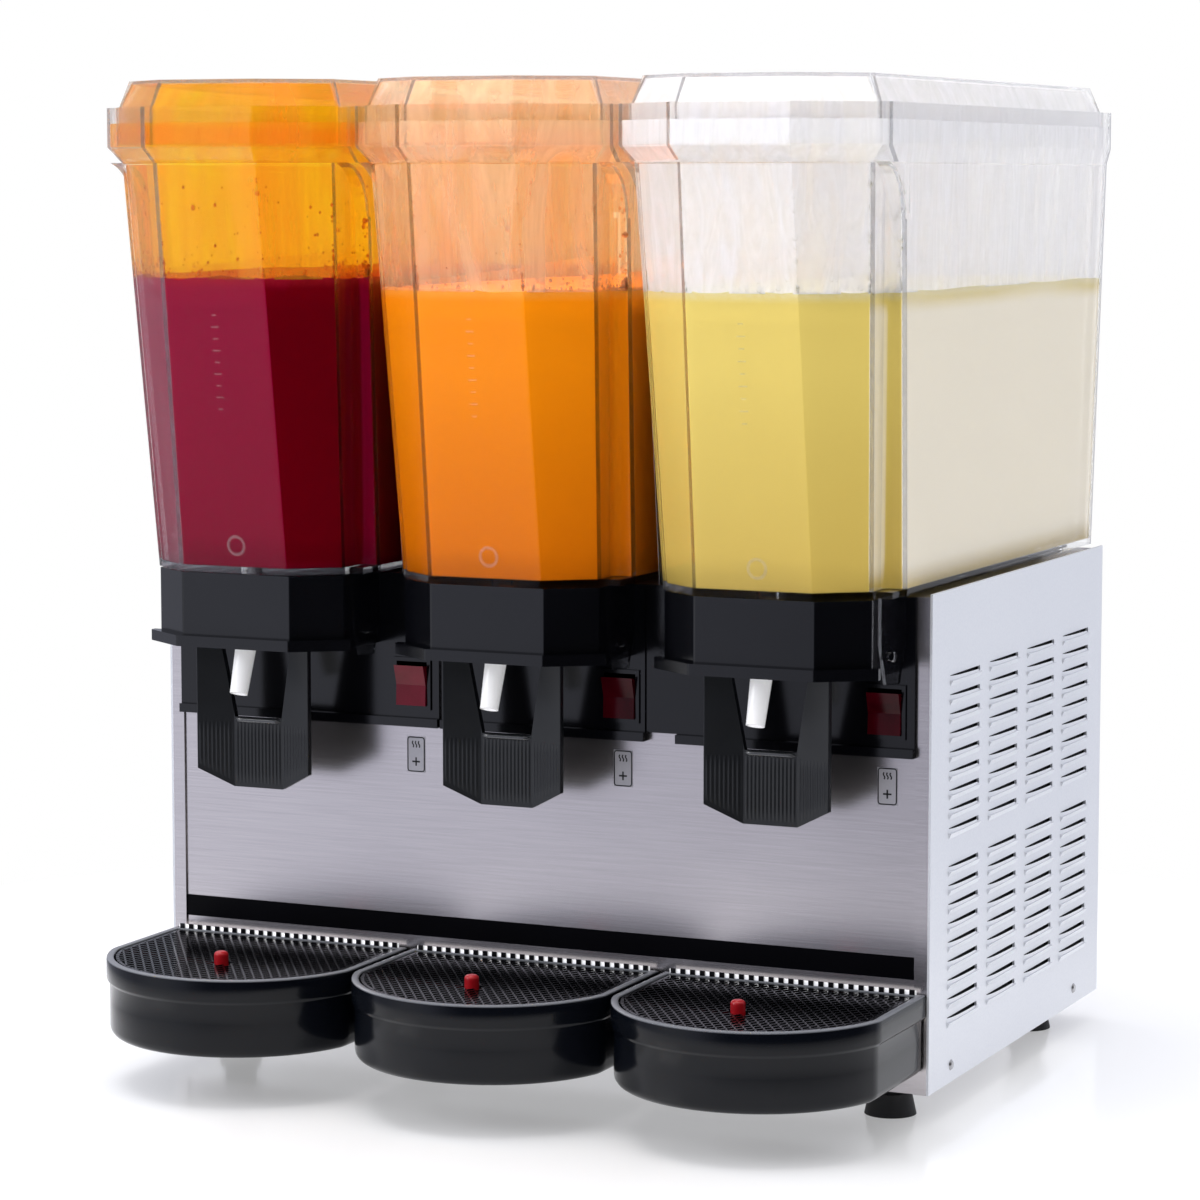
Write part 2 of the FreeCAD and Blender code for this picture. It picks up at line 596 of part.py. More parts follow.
def cooler(cx):
    """Hollow stainless dome with rounded top edges and a foot flange on the deck."""
    points, radii = cooler_outline(0.0)
    dome = prism(points, radii, cx, DECK_TOP, COOLER_TOP)
    rounding = [e for e in dome.Edges
                if abs(e.BoundBox.ZMin - COOLER_TOP) < 0.01 and abs(e.BoundBox.ZMax - COOLER_TOP) < 0.01]
    dome = dome.makeFillet(COOLER_ROUND, rounding)
    inner, inner_radii = cooler_outline(-COOLER_SKIN)
    hollow = prism(inner, inner_radii, cx, DECK_TOP - 1, COOLER_TOP - COOLER_SKIN)
    rounding = [e for e in hollow.Edges
                if abs(e.BoundBox.ZMin - (COOLER_TOP - COOLER_SKIN)) < 0.01
                and abs(e.BoundBox.ZMax - (COOLER_TOP - COOLER_SKIN)) < 0.01]
    hollow = hollow.makeFillet(COOLER_ROUND - COOLER_SKIN, rounding)
    spindle = rod(cx, PUMP_Y, COOLER_TOP - 0.5, COOLER_TOP + SPINDLE_UP, SPINDLE_R)
    return dome.cut(hollow).fuse(spindle).removeSplitter()


def gasket(cx):
    ring, ring_radii = cooler_outline(GASKET_W)
    flange, flange_radii = cooler_outline(GASKET_FLANGE)
    hole, hole_radii = cooler_outline(0.0)
    body = prism(ring, ring_radii, cx, DECK_TOP, BOWL_LOW + BOWL_FLOOR)
    foot = prism(flange, flange_radii, cx, DECK_TOP, BOWL_LOW)
    return body.fuse(foot).cut(prism(hole, hole_radii, cx, DECK_TOP - 1, BOWL_LOW + 20)).removeSplitter()


def pump_cover(cx):
    z0 = COOLER_TOP
    outer = rod(cx, PUMP_Y, z0, z0 + PUMP_COVER_H, PUMP_COVER_R)
    inner = rod(cx, PUMP_Y, z0 - 1, z0 + PUMP_COVER_H - PUMP_WALL, PUMP_COVER_R - PUMP_WALL)
    socket = rod(cx, PUMP_Y, z0, z0 + PUMP_COVER_H + SOCKET_UP, TUBE_R + PUMP_WALL)
    bore = rod(cx, PUMP_Y, z0 - 1, z0 + PUMP_COVER_H + SOCKET_UP + 1, TUBE_R)
    reach = PUMP_COVER_R + 5
    half = PUMP_INTAKE[0] / 2
    slots = [box(cx - reach, cx + reach, PUMP_Y - half, PUMP_Y + half, z0 - 1, z0 + PUMP_INTAKE[1]),
             box(cx - half, cx + half, PUMP_Y - reach, PUMP_Y + reach, z0 - 1, z0 + PUMP_INTAKE[1])]
    return outer.cut(inner).fuse(socket.cut(inner)).cut([bore] + slots).removeSplitter()


def spray_tube(cx):
    """Clear riser with a flat spray head that has a ring of side holes."""
    low = COOLER_TOP + PUMP_COVER_H - PUMP_WALL
    tube = rod(cx, PUMP_Y, low, TUBE_TOP, TUBE_R)
    head = rod(cx, PUMP_Y, TUBE_TOP - 1, TUBE_TOP - 1 + SPRAY_HEAD_H, SPRAY_HEAD_R)
    bore = rod(cx, PUMP_Y, low - 1, TUBE_TOP + 1, TUBE_BORE_R)
    jets = []
    for i in range(4):
        turn = math.radians(45 + 90 * i)
        jets.append(Part.makeCylinder(0.9, SPRAY_HEAD_R + 2, V(cx, FRONT + PUMP_Y, TUBE_TOP + 1),
                                      V(math.cos(turn), math.sin(turn), 0)))
    return tube.fuse(head).cut([bore] + jets).removeSplitter()


def impeller(cx):
    """Magnetic disc with six vanes, free on the dome's spindle."""
    z0 = COOLER_TOP + IMPELLER_LIFT
    disc = rod(cx, PUMP_Y, z0, z0 + IMPELLER_DISC, IMPELLER_R)
    hub = rod(cx, PUMP_Y, z0, z0 + IMPELLER_H, HUB_R)
    vanes = []
    for i in range(6):
        vane = box(cx + HUB_R - 1, cx + IMPELLER_R - 1, PUMP_Y - VANE_THICK / 2, PUMP_Y + VANE_THICK / 2,
                   z0 + 2, z0 + IMPELLER_H)
        vane.rotate(V(cx, FRONT + PUMP_Y, 0), V(0, 0, 1), 60 * i)
        vanes.append(vane)
    bore = rod(cx, PUMP_Y, z0 - 1, z0 + IMPELLER_H + 1, SPINDLE_R + IMPELLER_FIT)
    return disc.fuse([hub] + vanes).cut(bore).removeSplitter()


MOTOR_TOP = COOLER_TOP - COOLER_SKIN - MAGNET_BELOW - MAGNET_H - MOTOR_BELOW


def drive_magnet(cx):
    z0 = MOTOR_TOP + MOTOR_BELOW
    disc = rod(cx, PUMP_Y, z0, z0 + MAGNET_H, MAGNET_R)
    return disc.cut(rod(cx, PUMP_Y, z0 - 1, z0 + MAGNET_H - 2, MOTOR_SHAFT_R + PIN_CLEAR))


def pump_motor(cx):
    body = rod(cx, PUMP_Y, MOTOR_TOP - MOTOR_H, MOTOR_TOP, MOTOR_R)
    shaft = rod(cx, PUMP_Y, MOTOR_TOP - 1, MOTOR_TOP + MOTOR_BELOW + MAGNET_H - 2.6, MOTOR_SHAFT_R)
    return body.fuse(shaft).removeSplitter()


def cooling_deck():
    """Top plate of the case, with an opening under each cooling dome."""
    half = CASE_W / 2 - SHEET
    plate = box(-half, half, PANEL_STEP + SHEET, CASE_D - SHEET, DECK_TOP - DECK_THICK, DECK_TOP)
    holes = []
    for _, cx in SIDES:
        points, radii = cooler_outline(-6.0)
        holes.append(prism(points, radii, cx, DECK_TOP - DECK_THICK - 1, DECK_TOP + 1))
    return plate.cut(holes)


# ---------------------------------------------------------------- case

def louvred_panel(side):
    """Side panel with four columns of slits, each with a rounded lip under it."""
    outer = side * CASE_W / 2
    inner = side * (CASE_W / 2 - SHEET)
    x0 = min(outer, inner)
    plate = box(x0, x0 + SHEET, 0, CASE_D, CASE_BASE, CASE_TOP)
    slits = []
    lips = []
    for column in range(LOUVRE_COLUMNS):
        y0 = LOUVRE_FRONT + column * LOUVRE_PITCH_Y
        for row in range(LOUVRE_ROWS):
            if row == LOUVRE_BLANK_ROW:
                continue
            z = LOUVRE_LOW + row * LOUVRE_PITCH_Z
            slits.append(box(x0 - 1, x0 + SHEET + 1, y0, y0 + LOUVRE_L,
                             z - LOUVRE_H / 2, z + LOUVRE_H / 2))
            lip = [V(outer, FRONT + y0, z - LOUVRE_H / 2),
                   V(outer + side * LOUVRE_LIP, FRONT + y0, z - LOUVRE_H / 2 - 0.2),
                   V(outer, FRONT + y0, z - LOUVRE_H / 2 - 3.6)]
            lip.append(lip[0])
            lips.append(Part.Face(Part.makePolygon(lip)).extrude(V(0, LOUVRE_L, 0)))
    holes = [bar_x(x0 - 1, x0 + SHEET + 1, y, SCREW_Z, 2.0) for y in SCREW_Y]
    return plate.cut(slits + holes).fuse(lips).removeSplitter()


def front_panel():
    """Brushed sheet with proud edge strips; its top is cut down behind the fascias."""
    half = CASE_W / 2 - SHEET
    middle = half - EDGE_STRIP
    sheet = box(-middle, middle, PANEL_STEP, PANEL_STEP + SHEET, CASE_BASE, DECK_TOP)
    strips = [box(-half, -middle, 0, PANEL_STEP + SHEET, CASE_BASE, DECK_TOP),
              box(middle, half, 0, PANEL_STEP + SHEET, CASE_BASE, DECK_TOP)]
    slots = []
    for _, cx in SIDES:
        slots += tray_tongues(cx, FIT)
    return sheet.fuse(strips).removeSplitter().cut(switch_holes(SWITCH_BEZEL + 1) + slots)


def switch_centres():
    return [cx + offset for (_, cx), offset in zip(SIDES, SWITCH_FROM_CENTRE)]


def switch_holes(grow):
    holes = []
    for x in switch_centres():
        holes.append(box(x - SWITCH_W / 2 - grow, x + SWITCH_W / 2 + grow, -20, 20,
                         SWITCH_Z - SWITCH_H / 2 - grow, SWITCH_Z + SWITCH_H / 2 + grow))
    return holes


def fascias():
    """Three black mouldings across the top of the panel, each with a ledge and a pocket."""
    outer = CASE_W / 2 - SHEET - EDGE_STRIP
    top = DECK_TOP
    split = FASCIA_SPLIT - COLLAR_SIDE[0]
    right_of_middle = PITCH / 2 - FILLER_W / 2
    spans = ((-outer, split), (split + FASCIA_GAP, right_of_middle),
             (right_of_middle + FILLER_W, outer))
    mouldings = []
    for x0, x1 in spans:
        wall = box(x0, x1, -FASCIA_OUT, PANEL_STEP, FASCIA_LOW, top)
        ledge = box(x0, x1, -LEDGE_OUT, -FASCIA_OUT, FASCIA_LOW, FASCIA_LOW + LEDGE_H)
        mouldings.append(wall.fuse(ledge))
    filler = box(right_of_middle, right_of_middle + FILLER_W, FILLER_BACK - FASCIA_OUT, PANEL_STEP,
                 FASCIA_LOW + LEDGE_H, top)
    mouldings[1] = mouldings[1].fuse(filler)
    holes = switch_holes(SWITCH_BEZEL)
    return Part.makeCompound([m.cut(holes).removeSplitter() for m in mouldings])


def switch_body(x):
    """Frame and box of one rocker switch, set into its fascia and the panel."""
    w = SWITCH_W / 2
    h = SWITCH_H / 2
    frame = box(x - w - SWITCH_BEZEL, x + w + SWITCH_BEZEL, -FASCIA_OUT - 1.5, PANEL_STEP + SHEET,
                SWITCH_Z - h - SWITCH_BEZEL, SWITCH_Z + h + SWITCH_BEZEL)
    shell = box(x - w - 1, x + w + 1, PANEL_STEP + SHEET, 24, SWITCH_Z - h - 1, SWITCH_Z + h + 1)
    well = box(x - w, x + w, -20, 16, SWITCH_Z - h, SWITCH_Z + h)
    reach = w + TRUNNION_IN + FIT
    bearings = bar_x(x - reach, x + reach, 0.0, SWITCH_Z, TRUNNION_R + PIN_CLEAR)
    return frame.fuse(shell).cut([well, bearings]).removeSplitter()


def rocker(x):
    """Red rocker: two shallow faces that meet in a dip, stored with its top pressed in."""
    h = SWITCH_H / 2 - FIT - 0.8
    depth = FASCIA_OUT + ROCKER_OUT
    profile = [(-depth, h), (-depth + 2.2, 0.0), (-depth, -h), (-1.0, -h + 1.8), (4.0, -5.0), (4.0, 5.0),
               (-1.0, h - 1.8)]
    points = [V(x - SWITCH_W / 2 + FIT, FRONT + y, SWITCH_Z + z) for y, z in profile]
    points.append(points[0])
    body = Part.Face(Part.makePolygon(points)).extrude(V(SWITCH_W - 2 * FIT, 0, 0))
    reach = SWITCH_W / 2 + TRUNNION_IN
    body = body.fuse(bar_x(x - reach, x + reach, 0.0, SWITCH_Z, TRUNNION_R)).removeSplitter()
    body.rotate(V(x, FRONT, SWITCH_Z), V(1, 0, 0), ROCKER_TILT)
    return body


def label(x):
    top = LABEL_TOP
    return box(x - LABEL_W / 2, x + LABEL_W / 2, PANEL_STEP - LABEL_THICK, PANEL_STEP,
               top - LABEL_H, top)


def base_pan():
    half = CASE_W / 2 - SHEET
    outer = box(-half, half, PANEL_STEP + SHEET, CASE_D - SHEET, CASE_BASE, CASE_BASE + 22)
    inner = box(-half + SHEET, half - SHEET, PANEL_STEP + 2 * SHEET, CASE_D - 2 * SHEET,
                CASE_BASE + SHEET, CASE_BASE + 23)
    return outer.cut(inner)


def rear_panel():
    half = CASE_W / 2 - SHEET
    plate = box(-half, half, CASE_D - SHEET, CASE_D, CASE_BASE, DECK_TOP)
    slots = []
    columns, rows = REAR_SLOTS
    first = -(columns - 1) / 2 * REAR_SLOT_PITCH[0] - REAR_SLOT[0] / 2
    for column in range(columns):
        for row in range(rows):
            x0 = first + column * REAR_SLOT_PITCH[0]
            z0 = REAR_SLOT_LOW + row * REAR_SLOT_PITCH[1]
            slots.append(box(x0, x0 + REAR_SLOT[0], CASE_D - 5, CASE_D + 5, z0, z0 + REAR_SLOT[1]))
    inlet = inlet_block(4.0, CASE_D - 5, CASE_D + 5)
    return plate.cut(slots + [inlet])


def feet():
    group = []
    for x in (-CASE_W / 2 + FOOT_FROM_SIDE, CASE_W / 2 - FOOT_FROM_SIDE):
        for y in (FOOT_FROM_FRONT, CASE_D - FOOT_FROM_BACK):
            pad = Part.makeCone(FOOT_R, FOOT_R - 3, CASE_BASE - 6, V(x, FRONT + y, 0))
            neck = rod(x, y, CASE_BASE - 6, CASE_BASE, FOOT_R - 6)
            group.append(pad.fuse(neck).removeSplitter())
    return Part.makeCompound(group)


def screws():
    group = []
    for side in (-1, 1):
        for y in SCREW_Y:
            foot = V(side * CASE_W / 2, FRONT + y, SCREW_Z)
            head = Part.makeCone(SCREW_R, SCREW_R - 1.2, SCREW_HEAD, foot, V(side, 0, 0))
            shank = Part.makeCylinder(2.0, SHEET, foot, V(-side, 0, 0))
            group.append(head.fuse(shank).removeSplitter())
    return Part.makeCompound(group)


# ---------------------------------------------------------------- drip trays

def tray_wire(grow, z, cx):
    """Straight back and sides, round corners and a bowed front, moved out by grow."""
    half = TRAY_HALF - TRAY_BAND_OUT + grow
    back = -FIT - 0.6 - TRAY_BAND_OUT + grow
    front = -TRAY_REACH + TRAY_BAND_OUT - grow
    r = TRAY_CORNER_R + grow
    side_end = -TRAY_SIDE
    nose = half - r
    drop = side_end - front
    big = (nose * nose + drop * drop - r * r) / (2 * (drop - r))
    centre = V(0, front + big, 0)
    corner = V(nose, side_end, 0)
    out = (corner - centre).normalize()
    touch = centre + out * big

    def place(x, y):
        return V(cx + x, FRONT + y, z)

    bisect = (V(1, 0, 0) + out).normalize()
    mid = corner + bisect * r
    edges = [Part.LineSegment(place(-half, back), place(half, back)),
             Part.LineSegment(place(half, back), place(half, side_end)),
             Part.Arc(place(half, side_end), place(mid.x, mid.y), place(touch.x, touch.y)),
             Part.Arc(place(touch.x, touch.y), place(0, front), place(-touch.x, touch.y)),
             Part.Arc(place(-touch.x, touch.y), place(-mid.x, mid.y), place(-half, side_end)),
             Part.LineSegment(place(-half, side_end), place(-half, back))]
    return Part.Wire([e.toShape() for e in edges])


def tray_solid(grow, z0, z1, cx):
    return Part.Face(tray_wire(grow, z0, cx)).extrude(V(0, 0, z1 - z0))


def tray(cx):
    body = tray_solid(0.0, TRAY_LOW, TRAY_TOP, cx)
    rounding = [e for e in body.Edges if e.BoundBox.ZMax < TRAY_LOW + 0.01]
    body = body.makeFillet(TRAY_BOTTOM_R, rounding)
    band = tray_solid(TRAY_BAND_OUT, TRAY_TOP - TRAY_BAND, TRAY_TOP, cx)
    hollow = tray_solid(-TRAY_WALL, TRAY_LOW + TRAY_WALL, TRAY_TOP + 1, cx)
    seat_z = TRAY_TOP - GRILLE_BELOW - GRILLE_THICK
    seat = tray_solid(-TRAY_WALL + 0.01, seat_z - 3, seat_z, cx).cut(
        tray_solid(-TRAY_WALL - 3, seat_z - 4, seat_z + 1, cx))
    tongues = tray_tongues(cx, 0.0)
    return body.fuse(band).cut(hollow).fuse([seat] + tongues).removeSplitter()


def tray_tongues(cx, grow):
    """Two flat tongues at the back of a tray, or the slots for them."""
    tongues = []
    for x in (-TONGUE_X, TONGUE_X):
        tongues.append(box(cx + x - TONGUE_W / 2 - grow, cx + x + TONGUE_W / 2 + grow, -3.5,
                           TONGUE_IN + grow, TONGUE_Z - grow, TONGUE_Z + TONGUE_H + grow))
    return tongues


def grille(cx):
    top = TRAY_TOP - GRILLE_BELOW
    low = top - GRILLE_THICK
    plate = tray_solid(-TRAY_WALL - GRILLE_GAP, low, top, cx)
    field = tray_solid(-TRAY_WALL - GRILLE_GAP - 7, low - 1, top + 1, cx)
    bars = []
    count = int(TRAY_REACH / SLOT_PITCH) + 1
    for i in range(count):
        y = -TRAY_REACH + i * SLOT_PITCH
        for x0, x1 in ((-TRAY_HALF, -30), (-26, -8), (8, 26), (30, TRAY_HALF)):
            bars.append(box(cx + x0, cx + x1, y, y + SLOT_W, low - 1, top + 1))
    slots = Part.makeCompound(bars).common(field)
    hole = rod(cx, FLOAT_Y, low - 1, top + 1, FLOAT_R + 1.0)
    return plate.cut(slots).cut(hole).removeSplitter()


def float_indicator(cx):
    """Foam disc with a red button that rises through the grille as the tray fills."""
    low = TRAY_LOW + TRAY_WALL + 1
    disc = rod(cx, FLOAT_Y, low, low + 10, FLOAT_DISC_R)
    stem = rod(cx, FLOAT_Y, low, FLOAT_TOP, FLOAT_R)
    tip = [e for e in stem.Edges if e.BoundBox.ZMin > FLOAT_TOP - 0.01]
    stem = stem.makeFillet(2.5, tip)
    return disc.fuse(stem).removeSplitter()


# ---------------------------------------------------------------- machinery

def compressor():
    """Round-ended pot on a foot plate with four legs."""
    x = CASE_W / 2 - COMPRESSOR_FROM_SIDE
    y = COMPRESSOR_Y
    z0 = CASE_BASE + SHEET
    pot = rod(x, y, z0 + COMPRESSOR_LOW, z0 + COMPRESSOR_HIGH, COMPRESSOR_R)
    caps = [e for e in pot.Edges if e.BoundBox.ZLength < 0.01]
    pot = pot.makeFillet(COMPRESSOR_ROUND, caps)
    half, depth, thick = COMPRESSOR_FOOT
    foot = box(x - half, x + half, y - depth, y + depth, z0, z0 + thick)
    leg_x, leg_y, leg_top, leg_r = COMPRESSOR_LEGS
    legs = [rod(x + dx, y + dy, z0 + thick - 1, z0 + leg_top, leg_r)
            for dx in (-leg_x, leg_x) for dy in (-leg_y, leg_y)]
    return pot.fuse([foot] + legs).removeSplitter()


def condenser():
    """Fin pack between two end plates, with tubes through all of it."""
    y1 = CONDENSER_BACK
    y0 = y1 - CONDENSER_THICK
    z0 = CASE_BASE + SHEET
    half = CONDENSER_HALF
    plates = [box(-half - 2, -half, y0, y1, z0, z0 + CONDENSER_H),
              box(half, half + 2, y0, y1, z0, z0 + CONDENSER_H)]
    count = int((2 * half - 4) / FIN_PITCH) + 1
    fins = [box(-half + 2 + FIN_PITCH * i, -half + 3 + FIN_PITCH * i, y0, y1, z0 + 10,
                z0 + CONDENSER_H - 5) for i in range(count)]
    tubes = [bar_x(-half - 10, half + 10, (y0 + y1) / 2, z0 + 30 + row * 28, 4.0) for row in range(7)]
    return plates[0].fuse(plates[1:] + fins + tubes).removeSplitter()


def along_y(y0, length, radius):
    """Round bar along Y on the fan's axis."""
    return Part.makeCylinder(radius, length, V(0, FRONT + y0, FAN_Z), V(0, 1, 0))


FAN_FRONT = CONDENSER_BACK - CONDENSER_THICK - FAN_FROM_FINS


def fan_motor():
    back = FAN_FRONT - 3
    body = along_y(back - FAN_MOTOR_L, FAN_MOTOR_L, FAN_MOTOR_R)
    shaft = along_y(back - 1, 12, FAN_SHAFT_R)
    pan = CASE_BASE + SHEET
    bracket = box(-8, 8, back - 40, back - 20, pan, FAN_Z)
    foot = box(-45, 45, back - 45, back - 15, pan, pan + 3)
    return body.fuse([shaft, bracket, foot]).removeSplitter()


def fan_blades():
    """Hub with five pitched blades."""
    blades = []
    for i in range(5):
        blade = box(FAN_HUB_R - 4, FAN_R, FAN_FRONT + 6, FAN_FRONT + 8, FAN_Z - 20, FAN_Z + 20)
        blade.rotate(V(0, FRONT + FAN_FRONT + 7, FAN_Z), V(1, 0, 0), 22)
        blade.rotate(V(0, FRONT, FAN_Z), V(0, 1, 0), 72 * i)
        blades.append(blade)
    bore = along_y(FAN_FRONT - 1, 12, FAN_SHAFT_R + PIN_CLEAR)
    return along_y(FAN_FRONT, FAN_HUB_L, FAN_HUB_R).fuse(blades).cut(bore).removeSplitter()


def pipes():
    """Suction header under the deck with a branch up into each cooling dome."""
    header = bar_x(-PITCH - 20, PITCH + 20, PIPE_Y, PIPE_Z, PIPE_R)
    branches = [rod(cx, PIPE_Y, PIPE_Z, COOLER_TOP - 30, PIPE_R) for _, cx in SIDES]
    drop = rod(PITCH - 15, PIPE_Y, CASE_BASE + 140, PIPE_Z, PIPE_R)
    return header.fuse(branches + [drop]).removeSplitter()


def inlet_block(margin, y0, y1):
    """Block behind the inlet's face, smaller than the face by a margin all round."""
    w = INLET_HALF[0] - margin
    h = INLET_HALF[1] - margin
    return box(INLET_X - w, INLET_X + w, y0, y1, INLET_Z - h, INLET_Z + h)


def power_inlet():
    """Panel-mounted mains inlet with three pins in its well."""
    face = inlet_block(0.0, CASE_D, CASE_D + 2)
    body = inlet_block(4.5, CASE_D - 26, CASE_D)
    well = inlet_block(8.0, CASE_D - 18, CASE_D + 3)
    pins = [box(INLET_X + dx - 1, INLET_X + dx + 1, CASE_D - 20, CASE_D - 4, INLET_Z + dz - 2,
                INLET_Z + dz + 2) for dx, dz in ((0, 4), (-7, -3), (7, -3))]
    return face.fuse(body).cut(well).fuse(pins).removeSplitter()


def thermostat(cx):
    x, y, z = THERMOSTAT_AT
    return box(cx + x, cx + x + THERMOSTAT[0], y, y + THERMOSTAT[1], z, z + THERMOSTAT[2])


# ---------------------------------------------------------------- write everything

def group(shapes):
    return Part.makeCompound(shapes)


def main():
    save("base_pan", base_pan())
    save("side_panel_left", louvred_panel(-1))
    save("side_panel_right", louvred_panel(1))
    save("front_panel", front_panel())
    half = CASE_W / 2 - SHEET - EDGE_STRIP
    save("front_stripe", box(-half, half, PANEL_STEP - STRIPE_THICK, PANEL_STEP,
                             STRIPE_LOW, STRIPE_HIGH))
    save("rear_panel", rear_panel())
    save("top_deck", cooling_deck())
    save("switch_fascias", fascias())
    save("rubber_feet", feet())
    save("case_screws", screws())
    save("switch_bodies", group([switch_body(x) for x in switch_centres()]))
    save("switch_labels", group([label(x) for x in switch_centres()]))
    save("cooling_domes", group([cooler(cx) for _, cx in SIDES]))
    save("bowl_gaskets", group([gasket(cx) for _, cx in SIDES]))
    save("lever_pins", group([lever_pin(cx, s) for _, cx in SIDES for s in (-1, 1)]))
    save("lever_springs", group([lever_spring(cx) for _, cx in SIDES]))
    save("tap_nozzles", group([nozzle(cx) for _, cx in SIDES]))
    save("pump_motors", group([pump_motor(cx) for _, cx in SIDES]))
    save("pump_covers", group([pump_cover(cx) for _, cx in SIDES]))
    save("spray_tubes", group([spray_tube(cx) for _, cx in SIDES]))
    save("compressor", compressor())
    save("condenser", condenser())
    save("fan_motor", fan_motor())
    save("fan_blades", fan_blades())
    save("suction_pipes", pipes())
    save("power_inlet", power_inlet())
    save("thermostats", group([thermostat(cx) for _, cx in SIDES]))
    for (side, cx), x in zip(SIDES, switch_centres()):
        save("bowl_" + side, bowl(cx))
        save("lid_" + side, lid(cx))
        save("collar_" + side, collar(cx))
        save("tap_lever_" + side, lever(cx))
        save("tap_piston_" + side, piston(cx))
        save("impeller_" + side, impeller(cx))
        save("drive_magnet_" + side, drive_magnet(cx))
        save("rocker_" + side, rocker(x))
        save("drip_tray_" + side, tray(cx))
        save("tray_grille_" + side, grille(cx))
        save("float_" + side, float_indicator(cx))


main()
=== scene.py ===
import bpy
import json
import math
import numpy as np
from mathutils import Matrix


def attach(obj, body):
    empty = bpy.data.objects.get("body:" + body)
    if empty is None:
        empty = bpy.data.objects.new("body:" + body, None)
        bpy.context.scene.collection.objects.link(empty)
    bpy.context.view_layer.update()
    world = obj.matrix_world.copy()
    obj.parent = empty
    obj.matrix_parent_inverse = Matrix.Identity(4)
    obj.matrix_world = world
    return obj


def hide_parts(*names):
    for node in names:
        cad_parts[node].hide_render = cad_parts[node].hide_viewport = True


# Looks of the three-bowl cold drink dispenser, in metres, in the frame of the CAD model.
# X runs across the machine, Y from the taps to the back, Z up.

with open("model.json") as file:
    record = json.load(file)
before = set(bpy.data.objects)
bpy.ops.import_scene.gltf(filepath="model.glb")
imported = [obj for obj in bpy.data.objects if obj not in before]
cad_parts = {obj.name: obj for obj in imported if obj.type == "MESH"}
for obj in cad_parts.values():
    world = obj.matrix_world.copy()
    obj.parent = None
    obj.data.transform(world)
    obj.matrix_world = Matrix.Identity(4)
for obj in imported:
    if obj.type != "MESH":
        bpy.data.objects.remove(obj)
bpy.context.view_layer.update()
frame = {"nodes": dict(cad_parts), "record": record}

FRONT = -0.113                 # y of the front panel's edge strips
PANEL_STEP = 0.0015            # the panel's middle lies this far behind them
STATIONS = (("left", -0.18), ("middle", 0.0), ("right", 0.18))

# ---- bowls, with y measured from the front panel ----
BOWL_LOW = 0.334
NOSE_TOP = 0.596
RIM_LOW = 0.606
RIM_TOP = 0.631
WALL = 0.0035
FLOOR = 0.004
SKIN_GAP = 0.0003              # between a bowl's wall and what lies on it
# right half of the bowl's outline at its foot and at its shoulder, and of the rim, front to back
LOW_HALF = ((0.039, -0.072), (0.069, -0.048), (0.069, -0.026), (0.082, -0.026), (0.082, 0.362))
HIGH_HALF = ((0.0365, -0.104), (0.0775, -0.074), (0.0775, -0.046), (0.0865, -0.046),
             (0.0865, 0.372))
RIM_HALF = ((0.039, -0.114), (0.086, -0.078), (0.088, -0.072), (0.088, 0.376))
BODY_RADII = (0.0025, 0.0025, 0.0025, 0.0025, 0.014)
RIM_RADII = (0.0025, 0.0025, 0.0025, 0.014)
SHARPEST = 0.0006              # least radius of a corner that is moved in
LID_IN = 0.0075                # lid's skirt, in from the outside of the rim
LID_WALL = 0.0025
LID_TAPER = 0.007
LID_LOW = 0.607
LID_TOP = 0.648
DRINK_LEVEL = {"left": 0.524, "middle": 0.518, "right": 0.519}
WAVE = 0.0012                  # height of the ripples on a drink

# ---- volume marks and beads ----
TICKS_LOW = 0.440
TICKS_HIGH = 0.505
TICK_STEP = 0.0075
TICK_HALF = (0.0018, 0.0028)   # half a tick's length, turn about
RING_X = 0.004
RING_Z = 0.352
MARK_FOOT = 0.00005            # how far a mark stands off the wall at its foot and at its top
MARK_RISE = 0.0004
BEADS = 900
BEADS_LOW = 0.72               # share of the beads that sit just above the drink
BEAD_LEAST = 0.0003
BEAD_SPREAD = 0.00035
BEAD_MOST = 0.0014

# ---- drip trays ----
TRAY_HALF = 0.086
TRAY_REACH = 0.148
TRAY_CORNER = 0.025
TRAY_SIDE = 0.078
TRAY_BOTTOM = 0.033
TRAY_FOOT_R = 0.006
TRAY_TOP = 0.084
TONGUE_X = 0.05                # two tongues hang each tray from the panel
MESH_WIDE = 0.0067             # one diamond of the grille
MESH_LONG = 0.0100
MESH_BAR = 0.0012
MESH_TOP = 0.0832
MESH_DEPTH = 0.0010
BORDER_OUT = -0.0042           # the grille's flat border, moved in from the tray's outline
BORDER_IN = -0.0062
FLOAT_BACK = 0.092
FLOAT_HOLE = 0.0062
COMB_HALF = 0.082
COMB_BACK = 0.0046
TOOTH_WIDE = 0.0034
TOOTH_THICK = 0.0008
TOOTH_TOP = 0.0872
STRIP_HALF = 0.083

# ---- louvres ----
CASE_HALF = 0.27
LOUVRE_ROWS = 19
LOUVRE_BLANK = 9
LOUVRE_FRONT = 0.034
LOUVRE_PITCH_Y = 0.0765
LOUVRE_L = 0.057
LOUVRE_LOW = 0.061
LOUVRE_PITCH_Z = 0.01203
LOUVRE_H = 0.0034
HOOD_OUT = 0.0016              # how far a hood stands off the side
HOOD_DROP = 0.0046             # hood's foot below the slit's middle
HOOD_OVERLAP = 0.0006          # hood past each end of its slit
GAP_LEAST = 0.0003             # dark gap over a hood: least, growth to the back, round end
GAP_GROWTH = 0.0014
GAP_END = 0.0016
SCREEN_IN = 0.0035             # dark sheet behind the side's outer face: painted shade in the louvres' slits
SCREEN_Y = (0.028, 0.325)
SCREEN_Z = (0.052, 0.286)

